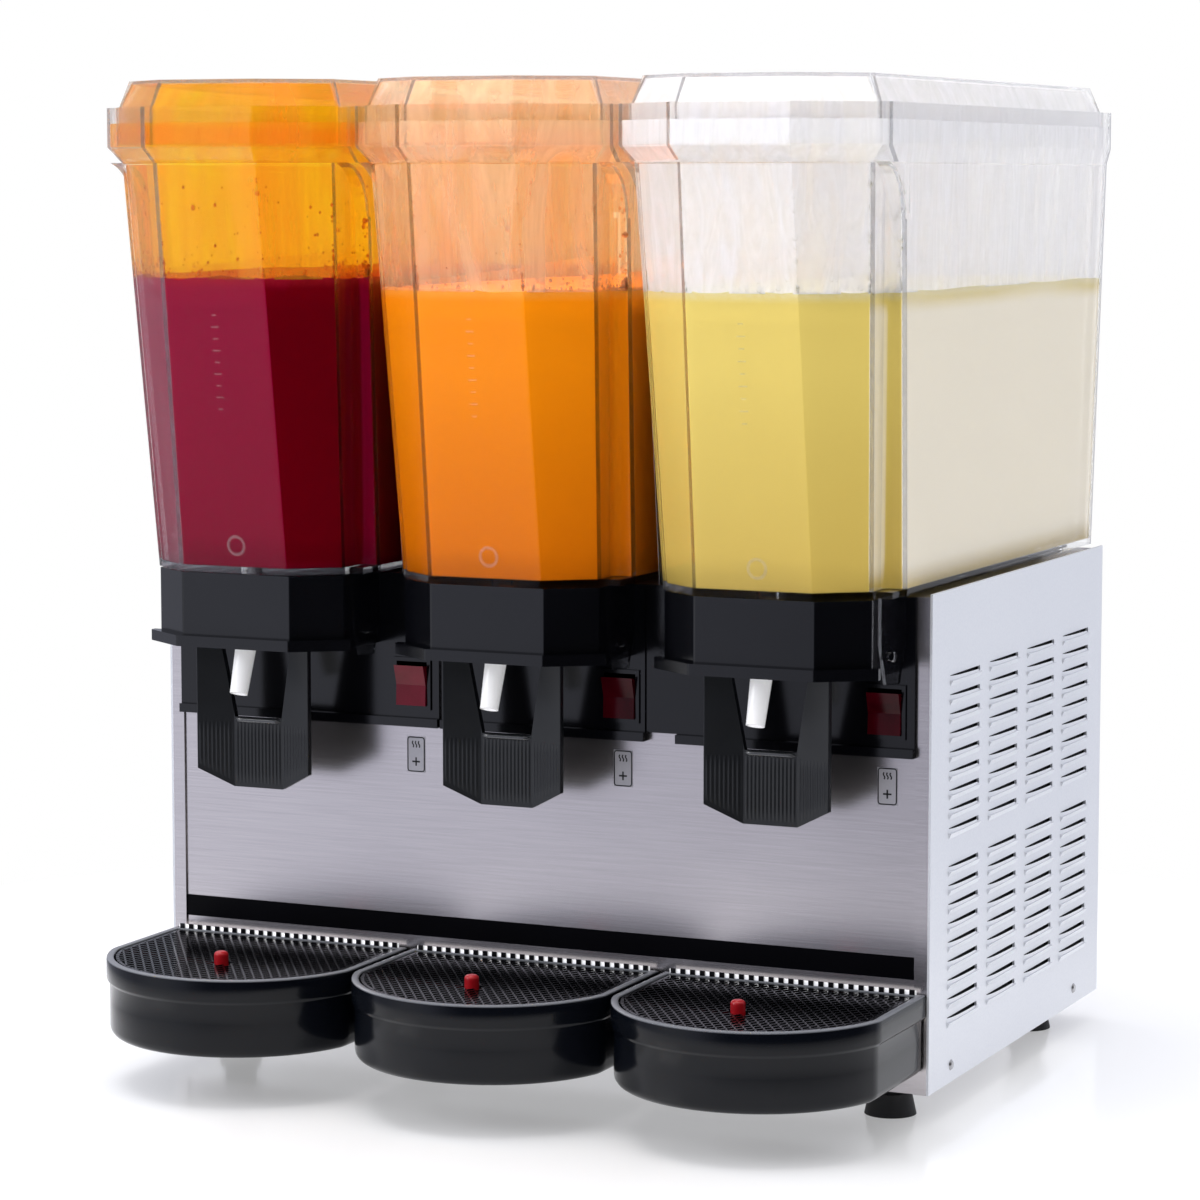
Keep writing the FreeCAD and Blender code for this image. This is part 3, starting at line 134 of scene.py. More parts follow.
# ---- taps and labels ----
LEVER_FACE = -0.041
LEVER_WING_OUT = 0.008
LEVER_HALF = 0.0415
LEVER_FACET = 0.018
PAD_LOW = 0.190
PAD_WING_RISE = 0.0125         # the pad's lower edge rises this much to the wings' ends
PAD_TOP = 0.2325
RIB_PITCH = 0.0026
RIB_RISE = 0.00042
LEDGE_HALF = 0.0168
LEDGE_Z = 0.2343
LEDGE_R = 0.0017
LABELS_X = (-0.086, 0.062, 0.241)
LABEL_Z = 0.21225
LABEL_THICK = 0.0003
SKIN_LIFT = 0.00006            # print stands this far off its film

# ---- light and camera ----
FLOOR_HALF = 9.0
FLOOR_Z = -0.0003
FADE_FROM = 0.45               # the floor fades to white between these distances
FADE_TO = 0.8
ROOM_WAY = (0.8, -0.6, 0.0)    # the room's brightness changes along this direction
ROOM_SHADES = ((0.0, 0.42), (0.2, 0.48), (0.375, 0.95), (0.5, 0.95), (0.555, 0.80), (0.61, 0.68),
               (0.65, 0.50), (0.74, 0.14), (0.80, 0.02), (1.0, 0.015))
ROOM_TINT = (0.94, 0.97, 1.15)
VIEW_WAY = (-0.41, 0.91, 0.0)  # level direction that the camera looks in
LENS = 115.67
SENSOR = 36.0
EYE = (1.0532, -2.3324, 0.5844)
EYE_TURN = (83.8, 0.0, 24.4)


# ================================================================ mesh helpers

def put(name, verts, faces, material, body, smooth=True):
    """Makes one piece from its points and faces and rides it on a body."""
    mesh = bpy.data.meshes.new(name)
    mesh.from_pydata([tuple(v) for v in verts.tolist()], [], faces)
    mesh.update()
    mesh.polygons.foreach_set("use_smooth", np.full(len(mesh.polygons), smooth))
    mesh.materials.append(material)
    piece = bpy.data.objects.new(name, mesh)
    bpy.context.scene.collection.objects.link(piece)
    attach(piece, body)
    return piece


def grid_faces(rows, columns, closed):
    """Quads of a rows x columns grid of points; closed joins the last column to the first."""
    r = np.arange(rows - 1)[:, None]
    c = np.arange(columns if closed else columns - 1)[None, :]
    n = (c + 1) % columns
    quads = np.stack([r * columns + c, r * columns + n, (r + 1) * columns + n,
                      (r + 1) * columns + c], axis=-1)
    return quads.reshape(-1, 4).tolist()


def mirrored(half):
    """Whole outline from its right half, which runs from the front to the back."""
    half = np.array(half)
    return np.vstack([half, (half * (-1, 1))[::-1]])


def both(values):
    """Values of the right half, then the same ones back along the left."""
    return np.array(tuple(values) + tuple(values)[::-1])


def inset(points, distance):
    """Each corner moved along its two neighbours' normals, so every side moves in by distance."""
    come = points - np.roll(points, 1, axis=0)
    go = np.roll(points, -1, axis=0) - points
    come /= np.linalg.norm(come, axis=1)[:, None]
    go /= np.linalg.norm(go, axis=1)[:, None]
    n1 = np.stack([-come[:, 1], come[:, 0]], axis=1)
    n2 = np.stack([-go[:, 1], go[:, 0]], axis=1)
    reach = distance / (1 + (n1 * n2).sum(axis=1))
    return points + (n1 + n2) * reach[:, None]


def rounded(points, radii, steps=6, runs=6):
    """Outline with each corner an arc of its radius, and runs points along each side."""
    before = np.roll(points, 1, axis=0) - points
    after = np.roll(points, -1, axis=0) - points
    a = before / np.linalg.norm(before, axis=1)[:, None]
    b = after / np.linalg.norm(after, axis=1)[:, None]
    half = np.arccos(np.clip((a * b).sum(axis=1), -1, 1)) / 2
    cut = (radii / np.tan(half))[:, None]
    middle = (a + b) / np.linalg.norm(a + b, axis=1)[:, None]
    centre = points + middle * (radii / np.sin(half))[:, None]
    start = points + a * cut
    end = points + b * cut
    t = np.linspace(0, 1, steps)[None, :, None]
    arm = (start - centre)[:, None] * (1 - t) + (end - centre)[:, None] * t
    arm *= (radii[:, None] / np.linalg.norm(arm, axis=2))[:, :, None]
    arcs = centre[:, None] + arm
    s = np.linspace(0, 1, runs + 2)[None, 1:-1, None]
    sides = end[:, None] * (1 - s) + np.roll(start, -1, axis=0)[:, None] * s
    return np.concatenate([arcs, sides], axis=1).reshape(-1, 2)


def lift(outline, z, cx):
    """Outline from the panel's own y to the machine's frame, at height z."""
    z = np.broadcast_to(z, outline.shape[:1])
    return np.column_stack([outline[:, 0] + cx, outline[:, 1] + FRONT, z])


def ripple(x, y, seed, sizes=((90, 1.0), (210, 0.55), (470, 0.3))):
    """Sum of crossed sines at a few frequencies, each turned and shifted by the seed."""
    total = np.zeros_like(x)
    rng = np.random.default_rng(seed)
    for frequency, weight in sizes:
        turn = rng.uniform(0, math.tau, 3)
        u = x * math.cos(turn[0]) + y * math.sin(turn[0])
        v = -x * math.sin(turn[0]) + y * math.cos(turn[0])
        total += weight * np.sin(u * frequency + turn[1]) * np.sin(v * frequency + turn[2])
    return total


# ================================================================ node helpers

def nodes_of(name):
    """New material with its node tree and its Principled surface."""
    material = bpy.data.materials.new(name)
    material.use_nodes = True
    tree = material.node_tree
    return material, tree, tree.nodes["Principled BSDF"]


def group(name, inputs, outputs):
    """Empty shader node group with named inputs (name, default) and outputs (name, socket)."""
    tree = bpy.data.node_groups.new(name, "ShaderNodeTree")
    for label, default in inputs:
        socket = tree.interface.new_socket(label, in_out="INPUT", socket_type="NodeSocketFloat")
        socket.default_value = default
    for label, kind in outputs:
        tree.interface.new_socket(label, in_out="OUTPUT", socket_type=kind)
    return tree, tree.nodes.new("NodeGroupInput"), tree.nodes.new("NodeGroupOutput")


def add(tree, kind, links=(), **settings):
    """New node; settings are its own values, and links are (socket, what feeds or fills it)."""
    node = tree.nodes.new(kind)
    for key, value in settings.items():
        setattr(node, key, value)
    for socket, source in links:
        if isinstance(source, bpy.types.NodeSocket):
            tree.links.new(source, node.inputs[socket])
        else:
            node.inputs[socket].default_value = source
    return node


def math_node(tree, operation, a, b=0.0):
    """Result of one sum on two values or sockets."""
    return add(tree, "ShaderNodeMath", ((0, a), (1, b)), operation=operation).outputs[0]


def brushed_group():
    """Lines drawn along X: noise squeezed across the brushing, plus a slow cloud."""
    tree, inp, out = group("Brushed lines", (("Lines", 900.0), ("Cloud", 6.0)),
                           (("Shade", "NodeSocketFloat"), ("Height", "NodeSocketFloat")))
    place = add(tree, "ShaderNodeTexCoord").outputs["Object"]
    squeeze = add(tree, "ShaderNodeMapping", (("Vector", place), ("Scale", (0.012, 1.0, 1.0))))
    lines = add(tree, "ShaderNodeTexNoise", (("Vector", squeeze.outputs[0]), ("Scale", inp.outputs[0]),
                                             ("Detail", 3.0), ("Roughness", 0.6)))
    cloud = add(tree, "ShaderNodeTexNoise", (("Vector", place), ("Scale", inp.outputs[1]), ("Detail", 2.0)))
    shade = math_node(tree, "ADD", math_node(tree, "MULTIPLY", lines.outputs[0], 0.7),
                      math_node(tree, "MULTIPLY", cloud.outputs[0], 0.3))
    tree.links.new(shade, out.inputs["Shade"])
    tree.links.new(lines.outputs[0], out.inputs["Height"])
    return tree


def moulded_group():
    """Skin of a moulding: fine grain and faint flow marks."""
    tree, inp, out = group("Moulded skin", (("Grain", 1800.0), ("Flow", 14.0)),
                           (("Shade", "NodeSocketFloat"), ("Height", "NodeSocketFloat")))
    place = add(tree, "ShaderNodeTexCoord").outputs["Object"]
    grain = add(tree, "ShaderNodeTexNoise", (("Vector", place), ("Scale", inp.outputs[0]), ("Detail", 2.0)))
    flow = add(tree, "ShaderNodeTexNoise", (("Vector", place), ("Scale", inp.outputs[1]), ("Detail", 4.0),
                                            ("Distortion", 0.6)))
    shade = math_node(tree, "ADD", math_node(tree, "MULTIPLY", grain.outputs[0], 0.25),
                      math_node(tree, "MULTIPLY", flow.outputs[0], 0.75))
    tree.links.new(shade, out.inputs["Shade"])
    tree.links.new(grain.outputs[0], out.inputs["Height"])
    return tree


def streak_group():
    """Drink left on a wall: runs down Z that wander."""
    tree, inp, out = group("Drink on a wall", (("Runs", 60.0),), (("Runs", "NodeSocketFloat"),))
    place = add(tree, "ShaderNodeTexCoord").outputs["Object"]
    tall = add(tree, "ShaderNodeMapping", (("Vector", place), ("Scale", (1.0, 1.0, 0.16))))
    runs = add(tree, "ShaderNodeTexNoise", (("Vector", tall.outputs[0]), ("Scale", inp.outputs[0]),
                                            ("Detail", 5.0), ("Roughness", 0.62), ("Distortion", 0.9)))
    tree.links.new(runs.outputs[0], out.inputs["Runs"])
    return tree


BRUSHED = brushed_group()
MOULDED = moulded_group()
STREAKS = streak_group()


def use(tree, made, *values):
    """Places a shared group and fills its inputs in order."""
    node = tree.nodes.new("ShaderNodeGroup")
    node.node_tree = made
    for i, value in enumerate(values):
        node.inputs[i].default_value = value
    return node


def ramp(tree, factor, stops):
    """Colour ramp from (place, colour) stops."""
    node = add(tree, "ShaderNodeValToRGB", (("Fac", factor),))
    elements = node.color_ramp.elements
    for i, (place, colour) in enumerate(stops):
        element = elements[i] if i < 2 else elements.new(place)
        element.position = place
        element.color = (*colour, 1.0)
    return node.outputs["Color"]


def span(tree, value, low, high):
    """Value from 0 to 1 stretched to low to high."""
    node = add(tree, "ShaderNodeMapRange", (("Value", value), ("To Min", low), ("To Max", high)))
    return node.outputs["Result"]


def surfaced(name, made, values, dark, light, rough, bump, metallic=0.0, **fixed):
    """Principled surface whose shade, roughness and fine bump come from one of the groups."""
    material, tree, shader = nodes_of(name)
    skin = use(tree, made, *values)
    tree.links.new(ramp(tree, skin.outputs["Shade"], ((0.3, dark), (0.7, light))),
                   shader.inputs["Base Color"])
    tree.links.new(span(tree, skin.outputs["Shade"], *rough), shader.inputs["Roughness"])
    relief = add(tree, "ShaderNodeBump", (("Height", skin.outputs["Height"]), ("Strength", bump),
                                          ("Distance", 0.0002)))
    tree.links.new(relief.outputs[0], shader.inputs["Normal"])
    shader.inputs["Metallic"].default_value = metallic
    shader.inputs["Emission Color"].default_value = (1.0, 1.0, 1.0, 1.0)
    for key, value in fixed.items():
        shader.inputs[key.replace("_", " ")].default_value = value
    return material


# ================================================================ materials

BRUSHED_PANEL = surfaced("brushed panel", BRUSHED, (1500.0, 5.0), (0.575, 0.54, 0.545),
                         (0.685, 0.645, 0.65), (0.20, 0.28), 0.05, metallic=1.0)
SIDE_SHEET = surfaced("side sheet", BRUSHED, (700.0, 4.0), (0.82, 0.84, 0.91), (0.90, 0.92, 0.97),
                      (0.34, 0.44), 0.04, metallic=0.35)
STAINLESS = surfaced("stainless", BRUSHED, (1200.0, 9.0), (0.50, 0.50, 0.52), (0.66, 0.66, 0.68),
                     (0.16, 0.30), 0.08, metallic=1.0)
BLACK_GLOSS = surfaced("black gloss moulding", MOULDED, (900.0, 12.0), (0.0012, 0.0013, 0.0022),
                       (0.0028, 0.003, 0.0048), (0.10, 0.20), 0.05)


def tray_material():
    """Black gloss with a painted highlight: a pale line painted along the rim's top edge."""
    material, tree, shader = nodes_of("tray gloss black with painted rim highlight")
    skin = use(tree, MOULDED, 900.0, 12.0)
    place = add(tree, "ShaderNodeTexCoord").outputs["Object"]
    height = add(tree, "ShaderNodeSeparateXYZ", ((0, place),)).outputs["Z"]
    # painted highlight: a pale grey mixed into the base colour near the rim's top edge
    rim = add(tree, "ShaderNodeMapRange", (("Value", height), ("From Min", TRAY_TOP - 0.0012),
                                           ("From Max", TRAY_TOP - 0.0003))).outputs["Result"]
    colour = add(tree, "ShaderNodeMix", (("Factor", rim),), data_type="RGBA")
    tree.links.new(ramp(tree, skin.outputs["Shade"], ((0.3, (0.002, 0.0028, 0.005)),
                                                      (0.7, (0.004, 0.005, 0.008)))),
                   colour.inputs["A"])
    colour.inputs["B"].default_value = (0.24, 0.25, 0.28, 1.0)
    tree.links.new(colour.outputs["Result"], shader.inputs["Base Color"])
    tree.links.new(span(tree, skin.outputs["Shade"], 0.10, 0.2), shader.inputs["Roughness"])
    shader.inputs["Specular IOR Level"].default_value = 0.22
    return material


TRAY_BLACK_PAINTED_RIM = tray_material()
BLACK_SATIN = surfaced("black satin moulding", MOULDED, (2200.0, 18.0), (0.0035, 0.0042, 0.006),
                       (0.008, 0.0095, 0.013), (0.30, 0.44), 0.3)
BLACK_BAND = surfaced("black band", MOULDED, (600.0, 8.0), (0.0012, 0.001, 0.002),
                      (0.003, 0.003, 0.005), (0.3, 0.4), 0.02, Specular_IOR_Level=0.06)
# the emission is a painted glow that lifts the white mouldings as if lit from the front
WHITE_GLOSS_PAINTED_GLOW = surfaced("white gloss moulding with painted glow", MOULDED, (1200.0, 16.0), (0.88, 0.88, 0.91),
                       (0.96, 0.96, 0.98), (0.10, 0.2), 0.04, Emission_Strength=0.19)
RED_LENS = surfaced("red rocker", MOULDED, (1500.0, 40.0), (0.030, 0.0, 0.002), (0.070, 0.001, 0.006),
                    (0.08, 0.14), 0.05, Specular_IOR_Level=0.15)
# brighter copy of the red rocker, used on the left switch: painted light
RED_PAINTED_LIGHT = surfaced("red rocker with painted light", MOULDED, (1500.0, 40.0), (0.13, 0.0, 0.008), (0.22, 0.002, 0.02),
                   (0.08, 0.14), 0.05, Specular_IOR_Level=0.3)
RED_FLOAT = surfaced("red float", MOULDED, (1500.0, 60.0), (0.42, 0.006, 0.012),
                     (0.58, 0.012, 0.02), (0.14, 0.24), 0.05)
RUBBER = surfaced("rubber", MOULDED, (1600.0, 30.0), (0.008, 0.008, 0.009), (0.018, 0.018, 0.02),
                  (0.55, 0.75), 0.5)
GASKET = surfaced("gasket rubber", MOULDED, (1600.0, 30.0), (0.05, 0.05, 0.055),
                  (0.09, 0.09, 0.1), (0.5, 0.7), 0.4)
LABEL = surfaced("label film", MOULDED, (1200.0, 25.0), (0.46, 0.45, 0.49), (0.54, 0.53, 0.57),
                 (0.35, 0.45), 0.03, metallic=0.5)
MESH_BLACK = surfaced("black coated mesh", MOULDED, (1400.0, 30.0), (0.003, 0.003, 0.004),
                      (0.007, 0.007, 0.009), (0.10, 0.2), 0.05)
# the bright base and emission are a painted highlight that shows between the grille's teeth
LEDGE_PAINTED_GLINT = surfaced("tray ledge with painted glint", BRUSHED, (1400.0, 20.0), (0.72, 0.72, 0.75),
                        (0.86, 0.86, 0.88), (0.2, 0.3), 0.05, metallic=0.6,
                        Emission_Strength=0.35)
LEDGE_BLACK = surfaced("polished lever edge", MOULDED, (1400.0, 30.0), (0.02, 0.021, 0.025),
                       (0.04, 0.042, 0.048), (0.18, 0.26), 0.04, Coat_Weight=1.0)
# a dark sheet behind the louvres: painted shade for their slits
LOUVRE_SHADE = surfaced("louvre painted shade", MOULDED, (2500.0, 60.0), (0.004, 0.004, 0.005),
                (0.012, 0.012, 0.014), (0.8, 0.9), 0.6)
INK = surfaced("label print", MOULDED, (1200.0, 25.0), (0.006, 0.006, 0.01), (0.012, 0.012, 0.016),
               (0.4, 0.5), 0.02)
IRON = surfaced("dark iron", MOULDED, (700.0, 20.0), (0.03, 0.03, 0.034), (0.07, 0.07, 0.075),
                (0.45, 0.6), 0.4, metallic=0.7)
MOTOR = surfaced("black painted shell", MOULDED, (500.0, 10.0), (0.014, 0.014, 0.017),
                 (0.026, 0.026, 0.03), (0.25, 0.4), 0.3)
FINS = surfaced("fin sheet", BRUSHED, (1400.0, 20.0), (0.6, 0.61, 0.63), (0.72, 0.73, 0.75),
                (0.3, 0.42), 0.1, metallic=1.0)
COPPER = surfaced("copper pipe", BRUSHED, (1400.0, 22.0), (0.48, 0.2, 0.11), (0.68, 0.32, 0.19),
                  (0.2, 0.42), 0.1, metallic=1.0)
ZINC = surfaced("zinc", BRUSHED, (1600.0, 40.0), (0.36, 0.36, 0.38), (0.5, 0.5, 0.52),
                (0.22, 0.36), 0.1, metallic=1.0)

STRAIGHT_THROUGH = 0.25        # share of the light that the thin walls don't bend


def clear_wall():
    """Clear moulded plastic: bends part of the light, and lets lamps through to what is inside."""
    material, tree, shader = nodes_of("clear bowl plastic")
    skin = use(tree, MOULDED, 500.0, 9.0)
    tree.links.new(ramp(tree, skin.outputs["Shade"], ((0.2, (0.975, 0.975, 0.985)),
                                                      (0.8, (1.0, 1.0, 1.0)))),
                   shader.inputs["Base Color"])
    shader.inputs["Transmission Weight"].default_value = 1.0
    shader.inputs["Roughness"].default_value = 0.0
    shader.inputs["IOR"].default_value = 1.24
    passing = add(tree, "ShaderNodeBsdfTransparent", (("Color", (0.96, 0.96, 0.97, 1.0)),))
    path = add(tree, "ShaderNodeLightPath")
    share = math_node(tree, "MAXIMUM", path.outputs["Is Shadow Ray"], STRAIGHT_THROUGH)
    mix = add(tree, "ShaderNodeMixShader", ((0, share), (1, shader.outputs[0]),
                                            (2, passing.outputs[0])))
    tree.links.new(mix.outputs[0], tree.nodes["Material Output"].inputs["Surface"])
    return material


CLEAR = clear_wall()


def drink_material(name, deep, bright, foam, level, painted_side_light=None, turn=(0.75, 0.97)):
    """Opaque drink, brighter towards its surface and paling into foam at its edge.

    painted_side_light is a colour painted on where the drink faces the machine's right side: painted light
    where light comes through from behind, painted shade on the red drink.
    """
    material, tree, shader = nodes_of(name)
    place = add(tree, "ShaderNodeTexCoord").outputs["Object"]
    height = add(tree, "ShaderNodeSeparateXYZ", ((0, place),)).outputs["Z"]
    cloud = add(tree, "ShaderNodeTexNoise", (("Vector", place), ("Scale", 9.0), ("Detail", 3.0)))
    rise = add(tree, "ShaderNodeMapRange", (("Value", height), ("From Min", BOWL_LOW),
                                            ("From Max", level - 0.004)))
    drift = math_node(tree, "ADD", rise.outputs["Result"],
                      math_node(tree, "MULTIPLY", cloud.outputs[0], 0.25))
    body = ramp(tree, drift, ((0.1, deep), (0.9, bright)))
    # painted side colour, mixed in by how far the surface faces the machine's right: lighter on the yellow
    # drink as painted light, darker on the red drink as painted shade
    if painted_side_light:
        way = add(tree, "ShaderNodeNewGeometry").outputs["Normal"]
        across = add(tree, "ShaderNodeSeparateXYZ", ((0, way),)).outputs["X"]
        turned = add(tree, "ShaderNodeMapRange", (("Value", across), ("From Min", turn[0]),
                                                  ("From Max", turn[1]))).outputs["Result"]
        blend = add(tree, "ShaderNodeMix", (("Factor", turned),), data_type="RGBA")
        tree.links.new(body, blend.inputs["A"])
        blend.inputs["B"].default_value = (*painted_side_light, 1.0)
        body = blend.outputs["Result"]
    bubbles = add(tree, "ShaderNodeTexNoise", (("Vector", place), ("Scale", 420.0), ("Detail", 3.0)))
    near = add(tree, "ShaderNodeMapRange", (("Value", height), ("From Min", level - 0.007),
                                            ("From Max", level + 0.002)))
    edge = math_node(tree, "MULTIPLY", near.outputs["Result"], span(tree, bubbles.outputs[0], 0.2, 1.3))
    mix = add(tree, "ShaderNodeMix", (("Factor", edge),), data_type="RGBA")
    tree.links.new(body, mix.inputs["A"])
    mix.inputs["B"].default_value = (*foam, 1.0)
    tree.links.new(mix.outputs["Result"], shader.inputs["Base Color"])
    shader.inputs["Roughness"].default_value = 0.5
    shader.inputs["Specular IOR Level"].default_value = 0.0
    relief = add(tree, "ShaderNodeBump", (("Height", bubbles.outputs[0]), ("Strength", 0.1),
                                          ("Distance", 0.0003)))
    tree.links.new(relief.outputs[0], shader.inputs["Normal"])
    return material


def film_material(name, thin, thick, cover, run_scale):
    """Drink left on a clear wall: a tint that light passes through, with milky runs on it."""
    material, tree, shader = nodes_of(name)
    wall = use(tree, STREAKS, run_scale)
    tint = ramp(tree, wall.outputs["Runs"], ((0.35, thin), (0.72, thick)))
    passing = add(tree, "ShaderNodeBsdfTransparent")
    tree.links.new(tint, passing.inputs["Color"])
    tree.links.new(tint, shader.inputs["Base Color"])
    shader.inputs["Roughness"].default_value = 0.3
    share = add(tree, "ShaderNodeMapRange", (("Value", wall.outputs["Runs"]), ("From Min", 0.42),
                                             ("From Max", 0.75), ("To Min", cover[0]),
                                             ("To Max", cover[1])))
    mix = add(tree, "ShaderNodeMixShader", ((0, share.outputs["Result"]), (1, passing.outputs[0]),
                                            (2, shader.outputs[0])))
    tree.links.new(mix.outputs[0], tree.nodes["Material Output"].inputs["Surface"])
    return material


# the red and yellow drinks' last colour is painted on their right-facing side: painted shade on the red,
# painted light on the yellow
DRINK = {
    "left": drink_material("red drink", (0.185, 0.001, 0.018), (0.23, 0.001, 0.026),
                           (0.30, 0.012, 0.02), DRINK_LEVEL["left"], (0.12, 0.0, 0.004), (0.25, 0.5)),
    "middle": drink_material("orange drink", (0.66, 0.15, 0.002), (0.94, 0.27, 0.004),
                             (0.96, 0.42, 0.08), DRINK_LEVEL["middle"]),
    "right": drink_material("yellow drink", (0.62, 0.44, 0.10), (0.80, 0.62, 0.16),
                            (0.90, 0.84, 0.56), DRINK_LEVEL["right"], (0.92, 0.83, 0.64)),
}
FILM = {
    "left": film_material("red drink film", (1.0, 0.78, 0.06), (1.0, 0.50, 0.02), (0.05, 0.30), 26.0),
    "middle": film_material("orange drink film", (1.0, 0.90, 0.68), (1.0, 0.74, 0.46),
                            (0.12, 0.50), 30.0),
    "right": film_material("pale drink film", (1.0, 1.0, 1.0), (0.93, 0.92, 0.95),
                           (0.55, 0.90), 70.0),
}


def bead_material(name, colour):
    """Bead of drink: a clear skin over its colour."""
    material, tree, shader = nodes_of(name)
    skin = use(tree, MOULDED, 800.0, 200.0)
    tree.links.new(ramp(tree, skin.outputs["Shade"], ((0.3, tuple(0.6 * c for c in colour)),
                                                      (0.7, colour))), shader.inputs["Base Color"])
    shader.inputs["Roughness"].default_value = 0.08
    shader.inputs["Transmission Weight"].default_value = 0.6
    shader.inputs["IOR"].default_value = 1.33
    return material


def mark_material():
    """Raised clear marks: mostly what is behind them, with a soft sheen."""
    material, tree, shader = nodes_of("raised clear mark")
    skin = use(tree, MOULDED, 900.0, 40.0)
    tree.links.new(ramp(tree, skin.outputs["Shade"], ((0.3, (0.75, 0.74, 0.78)),
                                                      (0.7, (0.95, 0.94, 0.97)))),
                   shader.inputs["Base Color"])
    shader.inputs["Roughness"].default_value = 0.15
    passing = add(tree, "ShaderNodeBsdfTransparent", (("Color", (0.93, 0.93, 0.95, 1.0)),))
    mix = add(tree, "ShaderNodeMixShader", ((0, 0.12), (1, passing.outputs[0]),
                                            (2, shader.outputs[0])))
    tree.links.new(mix.outputs[0], tree.nodes["Material Output"].inputs["Surface"])
    return material


MARK = mark_material()
BEAD = {"left": bead_material("red drink bead", (0.75, 0.10, 0.01)),
        "middle": bead_material("orange drink bead", (0.80, 0.32, 0.06)),
        "right": bead_material("pale drink bead", (0.78, 0.74, 0.60))}

SLOT_MATERIALS = {
    "steel_sheet": BRUSHED_PANEL, "side_sheet": SIDE_SHEET, "black_band": BLACK_BAND,
    "black_moulding": BLACK_GLOSS, "lever_black": BLACK_SATIN, "clear_bowl": CLEAR,
    "white_plastic": WHITE_GLOSS_PAINTED_GLOW, "red_lens": RED_LENS, "red_float": RED_FLOAT,
    "rubber": RUBBER, "gasket_rubber": GASKET, "stainless": STAINLESS, "zinc_screw": ZINC,
    "label_film": LABEL, "pump_white": WHITE_GLOSS_PAINTED_GLOW, "magnet": IRON, "motor_black": MOTOR,
    "fins": FINS, "copper": COPPER, "spring_steel": ZINC,
}


def dress_frame():
    """Gives each CAD node the finish of its slot in the record. The left switch gets a brighter copy of the
    red: painted light.
    """
    for row in frame["record"]["subparts"]:
        node = frame["nodes"][row["node"]]
        for slot in node.material_slots:
            slot.material = SLOT_MATERIALS[row["material_slot"]]
    # painted light: the left rocker takes the brighter copy of the red
    for slot in frame["nodes"]["rocker_left"].material_slots:
        slot.material = RED_PAINTED_LIGHT


# ================================================================ drinks and film

def wall_outline(z, t):
    """Bowl's outline at height z moved in by t, straight-line between its foot and its shoulder.

    The flutes' inner corners turn the other way, so their radius grows as the outline moves in.
    """
    share = (z - BOWL_LOW) / (NOSE_TOP - BOWL_LOW)
    half = np.array(LOW_HALF) * (1 - share) + np.array(HIGH_HALF) * share
    radii = np.maximum(both(BODY_RADII) - t, SHARPEST)
    radii[[2, 7]] = BODY_RADII[2] + t
    return rounded(inset(mirrored(half), t), radii)


def drink(side, cx):
    """Drink: the bowl's inside outline from its floor up to a wavy edge, then rings to the middle."""
    level = DRINK_LEVEL[side]
    t = WALL + SKIN_GAP
    heights = np.linspace(BOWL_LOW + FLOOR + SKIN_GAP, level, 10)
    rings = [lift(wall_outline(z, t), z, cx) for z in heights]
    edge = rings[-1].copy()
    seed = len(side)
    edge[:, 2] += WAVE * ripple(edge[:, 0], edge[:, 1], seed)
    rings[-1] = edge
    middle = edge.mean(axis=0)
    for scale in (0.97, 0.9, 0.78, 0.6, 0.4, 0.2):
        ring = middle + (edge - middle) * scale
        ring[:, 2] = level - 0.0008 + WAVE * ripple(ring[:, 0], ring[:, 1], seed)
        rings.append(ring)
    count = len(edge)
    verts = np.vstack(rings)
    faces = grid_faces(len(rings), count, True)
    faces.append(list(range(count))[::-1])
    last = (len(rings) - 1) * count
    faces.append(list(range(last, last + count)))
    piece = put("drink_" + side, verts, faces, DRINK[side], "bowl_" + side + "_body")


def wall_film(side, cx):
    """Film on the bowl's inside from the drink's edge to the shoulder."""
    low = DRINK_LEVEL[side] - 0.001
    heights = np.linspace(low, NOSE_TOP - 0.001, 8)
    verts = np.vstack([lift(wall_outline(z, WALL + SKIN_GAP), z, cx) for z in heights])
    columns = len(verts) // len(heights)
    piece = put("film_" + side, verts, grid_faces(len(heights), columns, True), FILM[side],
                "bowl_" + side + "_body")


def rim_film(side, cx):
    """Film from the bowl's shoulder out over the flare, where the flutes end, and up inside the rim."""
    foot = np.array(HIGH_HALF)[[0, 1, 3, 4]]
    foot[2, 1] = HIGH_HALF[1][1] + 0.016
    foot, rim = mirrored(foot), mirrored(RIM_HALF)
    t = WALL + SKIN_GAP
    radii = np.maximum(both(RIM_RADII) - t, SHARPEST)
    rows = ((0.0, NOSE_TOP - 0.0005), (0.5, (NOSE_TOP + RIM_LOW) / 2), (1.0, RIM_LOW + 0.0003),
            (1.0, RIM_LOW + 0.008), (1.0, RIM_LOW + 0.015))
    rings = [lift(rounded(inset(foot * (1 - share) + rim * share, t), radii), z, cx)
             for share, z in rows]
    piece = put("rim_film_" + side, np.vstack(rings), grid_faces(len(rings), len(rings[0]), True),
                FILM[side], "bowl_" + side + "_body", smooth=False)


